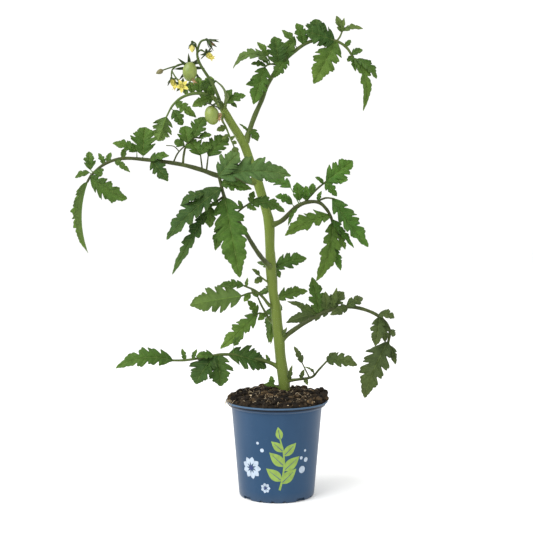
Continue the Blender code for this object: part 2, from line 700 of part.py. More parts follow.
def petal_ring(centre, axis, count, length, width, spread):
    """Petals round an axis, leaning away from it by the spread in degrees."""
    axis = Vector(axis).normalized()
    aside = axis.orthogonal().normalized()
    blades = []
    for k in range(count):
        out = Matrix.Rotation(2 * math.pi * (k + 0.5) / count, 3, axis) @ aside
        lean = math.radians(spread)
        way = axis * math.cos(lean) + out * math.sin(lean)
        face = axis * math.sin(lean) - out * math.cos(lean)
        foot = Vector(centre) + way * PETAL_START
        tip = foot + way * length
        blades.append(blade(foot, foot, tip, width, face, PETAL_BOW, PETAL_ROWS, PETAL_FOLD, 0.0, turn=k))
    return blades


def needle(root, tip, radius):
    """A three-sided spike."""
    root, tip = Vector(root) * MM, Vector(tip) * MM
    turn = (tip - root).to_track_quat("Z", "Y").to_matrix().to_4x4()
    bm = bmesh.new()
    bmesh.ops.create_cone(bm, cap_ends=True, segments=3, radius1=radius * MM, radius2=0.3 * radius * MM,
                          depth=(tip - root).length, matrix=Matrix.Translation((root + tip) / 2) @ turn)
    mesh = bpy.data.meshes.new("needle")
    bm.to_mesh(mesh)
    bm.free()
    return add_object("needle", mesh, workings)


def sepals(centre, axis, count, length, spread):
    """Thin pointed sepals round a receptacle, leaning away from its axis by the spread in degrees."""
    axis = Vector(axis).normalized()
    aside = axis.orthogonal().normalized()
    spikes = []
    for k in range(count):
        out = Matrix.Rotation(2 * math.pi * k / count, 3, axis) @ aside
        lean = math.radians(spread)
        way = axis * math.cos(lean) + out * math.sin(lean)
        spikes.append(needle(Vector(centre) + way, Vector(centre) + way * length, SEPAL_RADIUS))
    return spikes


def make_truss(surface):
    pieces = []
    for root_radius, end_radius, route in TRUSS_STALKS:
        last = len(route) - 1
        radii = [root_radius + (end_radius - root_radius) * k / last for k in range(last + 1)]
        pieces.append(tube("pedicel", route, radii, 0 if pieces else 1))
    for centre, axis, count, length, spread in CALYXES:
        pieces.append(ball("receptacle", centre, RECEPTACLE_RADIUS, 1.0, 5, 4))
        pieces += sepals(centre, axis, count, length, spread)
    pieces.append(tube("brown_bud", *BROWN_BUD))
    return fuse("truss", pieces, surface)


def heart_of(centre, axis):
    """Middle of a flower's heart, just off the receptacle that it sits on."""
    return Vector(centre) + Vector(axis).normalized() * (RECEPTACLE_RADIUS + GAP + HEART_RADIUS)


def make_flower(name, plan, surface):
    """Petals round a small heart; an open flower shows its cone of anthers."""
    centre, axis, count, length, width, spread = plan
    heart = heart_of(centre, axis)
    way = Vector(axis).normalized()
    if spread > OPEN_SPREAD:
        ends = [heart - way * HEART_RADIUS, heart + way * ANTHER_LENGTH / 2, heart + way * ANTHER_LENGTH]
        pieces = [tube("anthers", ends, [1.3, 1.4, 0.5], 1)]
    else:
        pieces = [ball("heart", heart, HEART_RADIUS, 1.0, 6, 4)]
    pieces += petal_ring(heart, axis, count, length, width, spread)
    return fuse(name, pieces, surface)


def make_yellow_bud(surface):
    centre, axis, length, radii = YELLOW_BUD
    heart = heart_of(centre, axis)
    way = Vector(axis).normalized()
    points = [heart + way * (length * (k / 3) - HEART_RADIUS) for k in range(4)]
    bud = tube("bud_yellow", points, radii, 1)
    return fuse("bud_yellow", [bud], surface)


def fruit_body(name, plan, grow=0.0):
    """An oval tomato, or a slightly bigger copy of it to cut its neighbours clear."""
    centre, tilt = plan
    fruit = ball(name, (0, 0, 0), FRUIT_RADIUS + grow, FRUIT_HALF_HEIGHT / FRUIT_RADIUS, 14, 9)
    place = Matrix.Translation(Vector(centre) * MM) @ Matrix.Rotation(math.radians(tilt), 4, "Y")
    fruit.data.transform(place)
    return fruit


def turned(name, profile, steps=POT_STEPS):
    """A solid of revolution from a profile of radius and height that runs down its outer side."""
    bm = bmesh.new()
    verts = [bm.verts.new((r * MM, 0, z * MM)) for r, z in profile]
    for a, b in zip(verts, verts[1:]):
        bm.edges.new((a, b))
    mesh = bpy.data.meshes.new(name)
    bm.to_mesh(mesh)
    bm.free()
    item = add_object(name, mesh, workings)
    screw = item.modifiers.new("turn", "SCREW")
    screw.steps = steps
    screw.render_steps = steps
    screw.use_merge_vertices = True
    screw.merge_threshold = 0.00001
    solid = add_object(name, bake(item), workings)
    bpy.data.objects.remove(item)
    return solid


def inner_radius(z):
    """Radius of the pot's cavity at a height."""
    rise = min(z / (POT_HEIGHT - LIP_HEIGHT), 1.0)
    return BASE_RADIUS + (NECK_RADIUS - BASE_RADIUS) * rise - WALL


def make_pot(surface):
    neck = POT_HEIGHT - LIP_HEIGHT
    profile = [
        (0, FLOOR),
        (inner_radius(FLOOR), FLOOR),
        (inner_radius(neck), neck),
        (RIM_RADIUS - WALL - 0.5, POT_HEIGHT - 0.8),
        (RIM_RADIUS - WALL, POT_HEIGHT),
        (RIM_RADIUS, POT_HEIGHT),
        (RIM_RADIUS - 0.3, POT_HEIGHT - 1.2),
        (RIM_RADIUS - 2.6, neck - 0.6),
        (NECK_RADIUS, neck - 1.6),
        (BASE_RADIUS + 0.6, 2.4),
        (BASE_RADIUS - 0.8, 0.7),
        (BASE_RADIUS - 2.2, 0),
        (0, 0),
    ]
    pot = turned("pot", profile)
    workings.objects.unlink(pot)
    plant.objects.link(pot)
    for quarter in range(4):
        heading = FOOT_TURN + 90 * quarter
        side = FOOT_TURN - 45 + 90 * quarter
        cuts = [(heading, FOOT_NOTCH)]
        cuts += [(side + DRAIN_SPACING * k, DRAIN_NOTCH) for k in (-1, 0, 1)]
        for angle, (width, height) in cuts:
            bm = bmesh.new()
            bmesh.ops.create_cube(bm, size=1.0)
            bmesh.ops.scale(bm, vec=Vector((width, 9.0, 2 * height)) * MM, verts=bm.verts)
            bmesh.ops.translate(bm, vec=Vector((0, -BASE_RADIUS, 0)) * MM, verts=bm.verts)
            bmesh.ops.rotate(bm, matrix=Matrix.Rotation(math.radians(angle), 3, "Z"), verts=bm.verts)
            mesh = bpy.data.meshes.new("notch")
            bm.to_mesh(mesh)
            bm.free()
            notch = cutter(add_object("notch", mesh, workings))
            boolean(pot, "DIFFERENCE", notch)
    pot.name = "pot"
    pot.data.materials.clear()
    pot.data.materials.append(surface)
    return pot


def make_soil(surface, fat_stem):
    """Potting soil heaped over the rim, rough on top, with a plain hole for the stem."""
    rings = 4
    neck = POT_HEIGHT - LIP_HEIGHT
    profile = [(SOIL_RADIUS * k / rings, SOIL_EDGE) for k in range(rings + 1)]
    profile += [
        (SOIL_RADIUS - 0.6, POT_HEIGHT - 1.8),
        (inner_radius(neck) - 2 * GAP, neck),
        (inner_radius(FLOOR) - 2 * GAP, FLOOR + GAP),
        (0, FLOOR + GAP),
    ]
    soil = turned("soil", profile)
    workings.objects.unlink(soil)
    plant.objects.link(soil)
    top = (SOIL_EDGE - 0.1) * MM
    for vert in soil.data.vertices:
        if vert.co.z < top:
            continue
        reach = math.hypot(vert.co.x, vert.co.y) / (SOIL_RADIUS * MM)
        spot = Vector((vert.co.x, vert.co.y, 0)) / MM
        heap = SOIL_HEAP * max(0.0, 1 - reach ** 4)
        rough = SOIL_ROUGHNESS * noise.noise(spot * 0.09) + 0.6 * SOIL_ROUGHNESS * noise.noise(spot * 0.21)
        vert.co.z += (heap + rough * (1.0 if reach < 0.98 else 0.5)) * MM
    boolean(soil, "DIFFERENCE", fat_stem)
    soil.name = "soil"
    soil.data.materials.clear()
    soil.data.materials.append(surface)
    return soil


def main():
    leaf_green = material("leaf_green", LEAF_GREEN, 0.55)
    truss_green = material("truss_green", TRUSS_GREEN, 0.55)
    fruit_green = material("fruit_green", FRUIT_GREEN, 0.3)
    petal_yellow = material("petal_yellow", PETAL_YELLOW, 0.6)
    dry_tan = material("dry_tan", DRY_TAN, 0.8)
    fat_stem = cutter(stem_tube("fat_stem", GAP))
    fat_fruits = [cutter(fruit_body("fat_" + name, plan, GAP)) for name, plan in FRUITS.items()]

    make_pot(material("pot_blue", POT_BLUE, 0.5))
    make_soil(material("soil_brown", SOIL_BROWN, 0.95), fat_stem)
    make_stem()
    for name, plan in LEAVES.items():
        clear_of(make_leaf(name, plan, leaf_green), fat_stem)
    truss = clear_of(make_truss(truss_green), fat_stem)
    for fat in fat_fruits:
        clear_of(truss, fat)
    for name, plan in FRUITS.items():
        fruit = fruit_body(name, plan)
        workings.objects.unlink(fruit)
        plant.objects.link(fruit)
        fruit.data.materials.append(fruit_green)
    for name, plan in FLOWERS.items():
        make_flower(name, plan, petal_yellow)
    make_yellow_bud(petal_yellow)
    for name, plan in DRY_PETALS.items():
        dry = make_flower(name, plan, dry_tan)
        for fat in fat_fruits:
            clear_of(dry, fat)
    for item in plant.objects:
        item.data.shade_smooth()
        item.data.set_sharp_from_angle(angle=math.radians(30))


clear_scene()
plant = new_collection("tomato_plant_in_pot")
workings = new_collection("workings")
main()
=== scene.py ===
import math
import random
from bisect import bisect_right

import bpy
from mathutils import Matrix, Vector, noise


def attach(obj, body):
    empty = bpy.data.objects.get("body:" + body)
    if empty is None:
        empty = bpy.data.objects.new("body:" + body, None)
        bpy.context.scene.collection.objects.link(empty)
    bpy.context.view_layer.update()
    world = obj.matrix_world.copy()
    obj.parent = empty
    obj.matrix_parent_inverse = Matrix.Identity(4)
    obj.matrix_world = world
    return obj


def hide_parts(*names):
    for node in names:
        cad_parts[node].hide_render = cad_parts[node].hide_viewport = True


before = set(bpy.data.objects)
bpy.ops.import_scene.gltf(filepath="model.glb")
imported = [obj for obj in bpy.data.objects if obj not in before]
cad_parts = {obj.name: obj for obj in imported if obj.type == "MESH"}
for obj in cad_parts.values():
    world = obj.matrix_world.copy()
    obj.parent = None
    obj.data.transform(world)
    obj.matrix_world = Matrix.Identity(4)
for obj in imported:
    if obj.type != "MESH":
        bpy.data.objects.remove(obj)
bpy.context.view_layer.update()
mm = 0.001  # every size and place below is in millimetres: x to the right, y to the back, z up
draw = random.Random(11)
shapes = bpy.ops.mesh

# greens and other skin colours, as linear light
deepGreen = (0.027, 0.076, 0.011)
midGreen = (0.053, 0.121, 0.014)
freshGreen = (0.092, 0.172, 0.022)
mistGreen = (0.065, 0.130, 0.034)
brightGreen = (0.056, 0.148, 0.015)
paleGreen = (0.112, 0.185, 0.042)
dullGreen = (0.060, 0.086, 0.026)
youngGreen = (0.092, 0.140, 0.031)
stalkGreen = (0.062, 0.088, 0.020)
brownStalk = (0.044, 0.056, 0.016)
apexStalk = (0.13, 0.17, 0.07)


# working tools
def deselectAll():
    if bpy.context.mode != "OBJECT":
        bpy.ops.object.mode_set(mode="OBJECT")
    bpy.ops.object.select_all(action="DESELECT")


def activate(item):
    deselectAll()
    item.select_set(True)
    bpy.context.view_layer.objects.active = item


def addShape(add, **sizes):
    deselectAll()
    add(**sizes)
    return bpy.context.view_layer.objects.active


def newItem(name, data):
    item = bpy.data.objects.new(name, data)
    bpy.context.scene.collection.objects.link(item)
    return item


def newMesh(name, verts, edges=(), faces=()):
    mesh = bpy.data.meshes.new(name)
    mesh.from_pydata(verts, edges, faces)
    return newItem(name, mesh)


def modify(item, kind, **settings):
    # adds one modifier and applies it
    change = item.modifiers.new("change", kind)
    for key, value in settings.items():
        setattr(change, key, value)
    activate(item)
    bpy.ops.object.modifier_apply(modifier=change.name)
    return item


def thicken(item, thickness, **settings):
    return modify(item, "SOLIDIFY", thickness=thickness * mm, offset=0.0, **settings)


def joinAll(name, items):
    activate(items[0])
    for item in items[1:]:
        item.select_set(True)
    if len(items) > 1:
        bpy.ops.object.join()
    items[0].name = name
    items[0].data.name = name
    return items[0]


def closeUp(item, near=0.002):
    # merges seams and poles, and turns every face outwards
    activate(item)
    bpy.ops.object.mode_set(mode="EDIT")
    bpy.ops.mesh.select_all(action="SELECT")
    bpy.ops.mesh.remove_doubles(threshold=near * mm)
    bpy.ops.mesh.normals_make_consistent(inside=False)
    bpy.ops.object.mode_set(mode="OBJECT")
    return item


def smooth(item, degrees=40):
    activate(item)
    bpy.ops.object.shade_smooth_by_angle(angle=math.radians(degrees))
    return item


def settle(item, stands=()):
    # the piece rides on the one body, and stands for the CAD nodes named
    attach(item, "root")
    if stands:
        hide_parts(*stands)
    return item


def dress(item, *surfaces):
    item.data.materials.clear()
    for surface in surfaces:
        item.data.materials.append(surface)
    return item


def tint(item, colour):
    # every point carries its own skin colour, which the materials read; it may be a function of the place
    kept = item.data.attributes
    layer = kept.get("skinTone") or kept.new("skinTone", "FLOAT_COLOR", "POINT")
    for vert, own in zip(item.data.vertices, layer.data):
        own.color = (*(colour(vert.co / mm) if callable(colour) else colour), 1.0)
    return item


def camel(words):
    first, *rest = words.split("_")
    return first + "".join(word.capitalize() for word in rest)


def scaled(colour, share):
    return tuple(share * part for part in colour)


def between(first, last, share):
    return first + (last - first) * share


def curveThrough(points, steps):
    # points of a smooth curve through the given ones; a fourth number, if any, is carried along
    knots = [Vector(point) for point in points]
    ends = [2 * knots[0] - knots[1]] + knots + [2 * knots[-1] - knots[-2]]
    line = []
    for a, b, c, d in zip(ends, ends[1:], ends[2:], ends[3:]):
        for k in range(steps):
            t = k / steps
            line.append(0.5 * (2 * b + (c - a) * t + (2 * a - 5 * b + 4 * c - d) * t ** 2
                               + (3 * b - a - 3 * c + d) * t ** 3))
    return line + [knots[-1]]


def easeThrough(values, steps):
    return [knot[0] for knot in curveThrough([(value, 0, 0) for value in values], steps)]


def drawRuns(name, runs, roundness):
    # one mesh of round rods, each run a list of points and one of radii
    curve = bpy.data.curves.new(name, "CURVE")
    curve.dimensions = "3D"
    curve.bevel_depth = mm
    curve.bevel_resolution = roundness
    curve.use_fill_caps = True
    for points, radii in runs:
        spline = curve.splines.new("POLY")
        spline.points.add(len(points) - 1)
        for knot, point, radius in zip(spline.points, points, radii):
            knot.co = (*(Vector(point) * mm), 1.0)
            knot.radius = radius
    activate(newItem(name, curve))
    bpy.ops.object.convert(target="MESH")
    return closeUp(bpy.context.view_layer.objects.active)


def growRod(name, points, radii, sides, skin):
    # a closed rod, its skin moved in and out by a function of the place along it and the angle
    last = len(points) - 1
    cuts = last + 2
    item = addShape(shapes.primitive_grid_add, x_subdivisions=cuts, y_subdivisions=sides, size=2)
    aside = Vector((1, 0.02, 0.01))
    frames = []
    for k, point in enumerate(points):
        ahead = (points[min(k + 1, last)] - points[max(k - 1, 0)]).normalized()
        aside = (aside - ahead * ahead.dot(aside)).normalized()
        frames.append((point, aside, ahead.cross(aside)))
    for vert in item.data.vertices:
        row = round((vert.co.x + 1) / 2 * cuts)
        k = min(max(row - 1, 0), last)
        turn = math.pi * vert.co.y
        middle, sideways, across = frames[k]
        radius = radii[k] * skin(k / last, turn) if 0 < row < cuts else 0.0
        vert.co = (middle + sideways * (math.cos(turn) * radius) + across * (math.sin(turn) * radius)) * mm
    item.name = name
    return closeUp(item)


def spread(name, model, places):
    # one mesh with a copy of the model at each of the places, which are matrices in millimetres
    corners = [vert.co.copy() for vert in model.data.vertices]
    sides = [list(face.vertices) for face in model.data.polygons]
    verts = []
    faces = []
    for place in places:
        first = len(verts)
        verts += [(place @ corner) * mm for corner in corners]
        faces += [[first + k for k in side] for side in sides]
    return newMesh(name, verts, faces=faces)


def discard(item):
    bpy.data.objects.remove(item)


# node tools for the materials; a node joins the tree of the sockets that it reads
def addNode(kind, inputs, tree=None, **settings):
    sockets = [value for value in inputs.values() if isinstance(value, bpy.types.NodeSocket)]
    tree = tree or sockets[0].id_data
    made = tree.nodes.new("ShaderNode" + kind)
    for key, value in settings.items():
        setattr(made, key, value)
    for key, value in inputs.items():
        if isinstance(value, bpy.types.NodeSocket):
            tree.links.new(value, made.inputs[key])
        else:
            made.inputs[key].default_value = value
    return made.outputs


def startMaterial(name, roughness, **uniform):
    # gives the material, its shader and the place on the object
    made = bpy.data.materials.new(name)
    made.use_nodes = True
    shader = made.node_tree.nodes["Principled BSDF"]
    shader.inputs["Roughness"].default_value = roughness
    for key, value in uniform.items():
        shader.inputs[key.replace("_", " ")].default_value = value
    return made, shader, addNode("TexCoord", {}, made.node_tree)["Object"]


def carried(shader, name, form):
    return addNode("Attribute", {}, shader.id_data, attribute_name=name)[form]


def ownTone(shader):
    return carried(shader, "skinTone", "Color")


def stretched(place, stretch):
    return addNode("Mapping", {"Vector": place, "Scale": stretch})["Vector"]


def speckle(place, scale, detail=3.0, rough=0.55):
    return addNode("TexNoise", {"Vector": place, "Scale": scale, "Detail": detail, "Roughness": rough})["Fac"]


def compute(operation, first, second=0.0):
    return addNode("Math", {0: first, 1: second}, operation=operation)["Value"]


def remap(value, low, high, toLow=0.0, toHigh=1.0):
    return addNode("MapRange", {"Value": value, "From Min": low, "From Max": high, "To Min": toLow,
                                "To Max": toHigh})["Result"]


def blend(share, first, second, way="MIX"):
    # colours are sockets or plain triples
    first, second = (c if isinstance(c, bpy.types.NodeSocket) else (*c, 1.0) for c in (first, second))
    return addNode("Mix", {0: share, 6: first, 7: second}, data_type="RGBA", blend_type=way)[2]


def bump(shader, height, depth, strength=1.0):
    relief = addNode("Bump", {"Height": height, "Distance": depth * mm, "Strength": strength})
    shader.id_data.links.new(relief["Normal"], shader.inputs["Normal"])


def colourWith(shader, colour, cloud=None, smoothest=0.0, roughest=1.0):
    # the cloud, if any, varies the roughness
    link = shader.id_data.links.new
    link(colour, shader.inputs["Base Color"])
    if cloud:
        link(remap(cloud, 0.3, 0.7, smoothest, roughest), shader.inputs["Roughness"])


def mottled(name, roughness, scale, first, second, **uniform):
    made, shader, place = startMaterial(name, roughness, **uniform)
    colourWith(shader, blend(speckle(place, scale), first, second))
    return made


# leaf skin; the scales are those of its patterns, and the shades multiply the leaf's own tone
leafSkin = {
    "gloss": 0.14,
    "midrib": (0.15, 0.75),  # how far off it its light line begins to fade, and ends
    "sideVein": (0.08, 0.5),
    "net": 0.16,
    "netScale": 620.0,
    "cloudScale": 75.0,
    "cloudShade": (0.52, 0.60, 0.50),
    "patchScale": 26.0,
    "patchTone": (0.080, 0.135, 0.018),
    "fleckScale": 210.0,
    "fleckShade": (0.60, 0.66, 0.55),
    "paleTone": (0.120, 0.178, 0.066),
    "veinTone": (0.165, 0.225, 0.062),
    "grainScale": 900.0,
    "relief": 0.5,
}


def leafSurface(name, lighten, veinShare, roughness, veinHeight):
    # veins follow the leaflet's own rows, and a fine net lies between them
    made, shader, place = startMaterial(name, roughness, Specular_IOR_Level=leafSkin["gloss"])
    own = addNode("SeparateXYZ", {0: carried(shader, "leafPlace", "Vector")})
    midrib = remap(compute("ABSOLUTE", own["X"]), *leafSkin["midrib"], 1.0, 0.0)
    nearLobe = compute("PINGPONG", own["Y"], 1.0)
    apart = compute("MULTIPLY", compute("SUBTRACT", 1.0, nearLobe), own["Z"])
    sideVein = remap(apart, *leafSkin["sideVein"], 0.8, 0.0)
    net = addNode("TexVoronoi", {"Vector": place, "Scale": leafSkin["netScale"]}, feature="DISTANCE_TO_EDGE")
    netLine = remap(net["Distance"], 0.0, leafSkin["net"], 0.32, 0.0)
    veins = compute("MAXIMUM", compute("MAXIMUM", midrib, sideVein), netLine)
    cloud = speckle(place, leafSkin["cloudScale"], 4.0)
    patches = speckle(place, leafSkin["patchScale"], 2.0)
    flecks = speckle(place, leafSkin["fleckScale"])
    varied = blend(remap(cloud, 0.3, 0.7, 0.0, 0.85), ownTone(shader), leafSkin["cloudShade"], "MULTIPLY")
    varied = blend(remap(patches, 0.45, 0.75, 0.0, 0.35), varied, leafSkin["patchTone"])
    varied = blend(remap(flecks, 0.4, 0.65, 0.55, 0.0), varied, leafSkin["fleckShade"], "MULTIPLY")
    varied = blend(lighten, varied, leafSkin["paleTone"])
    colour = blend(compute("MULTIPLY", veins, veinShare), varied, leafSkin["veinTone"])
    colourWith(shader, colour, cloud, roughness - 0.08, roughness + 0.1)
    grain = compute("MULTIPLY", speckle(place, leafSkin["grainScale"], 2.0), 0.5)
    bump(shader, compute("ADD", compute("MULTIPLY", veins, veinHeight), grain), leafSkin["relief"])
    return made


# skin of stalks and stems
stalkSkin = {
    "gloss": 0.18,
    "roughness": 0.5,
    "streaks": (260, 260, 18),
    "streakShade": (0.55, 0.62, 0.42),
    "streakShare": 0.5,
    "patchScale": 60.0,
    "patchTone": (0.150, 0.190, 0.055),
    "grainScale": 1400.0,
    "relief": 0.15,
}


def skinSurface(name, **changes):
    # a stalk's own tone, with lengthwise streaks and tiny blisters
    skin = {**stalkSkin, **changes}
    roughness = skin["roughness"]
    made, shader, place = startMaterial(name, roughness, Specular_IOR_Level=skin["gloss"])
    streaks = speckle(stretched(place, skin["streaks"]), 1.0, 4.0)
    patches = speckle(place, skin["patchScale"])
    share = remap(streaks, 0.35, 0.7, 0.0, skin["streakShare"])
    colour = blend(share, ownTone(shader), skin["streakShade"], "MULTIPLY")
    colour = blend(remap(patches, 0.5, 0.75, 0.0, 0.35), colour, skin["patchTone"])
    colourWith(shader, colour, patches, roughness - 0.08, roughness + 0.12)
    grain = compute("MULTIPLY", speckle(place, skin["grainScale"], 2.0), 0.6)
    bump(shader, compute("ADD", streaks, grain), skin["relief"], 0.8)
    return made


# camera, floor and light
studio = {
    "cameraPlace": (-0.012, -1.25, 0.335),
    "cameraPitch": 86.95,
    "lens": 72.47,
    "sensor": 36.0,
    "floorSide": 16.0,
    "floorTones": ((0.97, 0.97, 0.965), (0.955, 0.955, 0.95)),
    "skyTone": (1.0, 1.0, 0.99, 1.0),
    "skyStrength": 1.05,
    "aim": (0, 0, 0.3),
    # each lamp's place, size and power
    "lamps": {"keyLight": ((-1.5, -1.2, 1.9), 2.4, 66.0), "fillLight": ((1.5, -1.0, 1.2), 1.4, 2.0)},
}


def makeStudio():
    view = bpy.data.cameras.new("camera")
    view.lens = studio["lens"]
    view.sensor_width = studio["sensor"]
    camera = newItem("camera", view)
    camera.location = studio["cameraPlace"]
    camera.rotation_euler = (math.radians(studio["cameraPitch"]), 0, 0)
    bpy.context.scene.camera = camera
    sky = bpy.data.worlds.new("sky")
    sky.use_nodes = True
    dome = sky.node_tree.nodes["Background"].inputs
    dome["Color"].default_value = studio["skyTone"]
    dome["Strength"].default_value = studio["skyStrength"]
    bpy.context.scene.world = sky
    bpy.context.scene.view_settings.view_transform = "Standard"
    for name, (place, size, power) in studio["lamps"].items():
        lamp = bpy.data.lights.new(name, "AREA")
        lamp.shape = "DISK"
        lamp.size = size
        lamp.energy = power
        item = newItem(name, lamp)
        item.location = place
        item.rotation_euler = (Vector(studio["aim"]) - Vector(place)).to_track_quat("-Z", "Y").to_euler()
    floor = addShape(shapes.primitive_plane_add, size=studio["floorSide"])
    floor.name = "floor"
    dress(floor, mottled("floorPaint", 0.8, 3.0, *studio["floorTones"]))
    print("studio ready")


# which way a leaflet's upper side looks
tilted = (0.0, -0.75, 0.65)
facing = (0.0, -1.0, 0.2)
away = (0.0, 1.0, 0.25)
upLeft = (-0.5, -0.7, 0.5)
upRight = (0.5, -0.7, 0.5)
downLeft = (-0.35, -0.8, -0.5)
leftward = (-1.0, -0.25, 0.0)

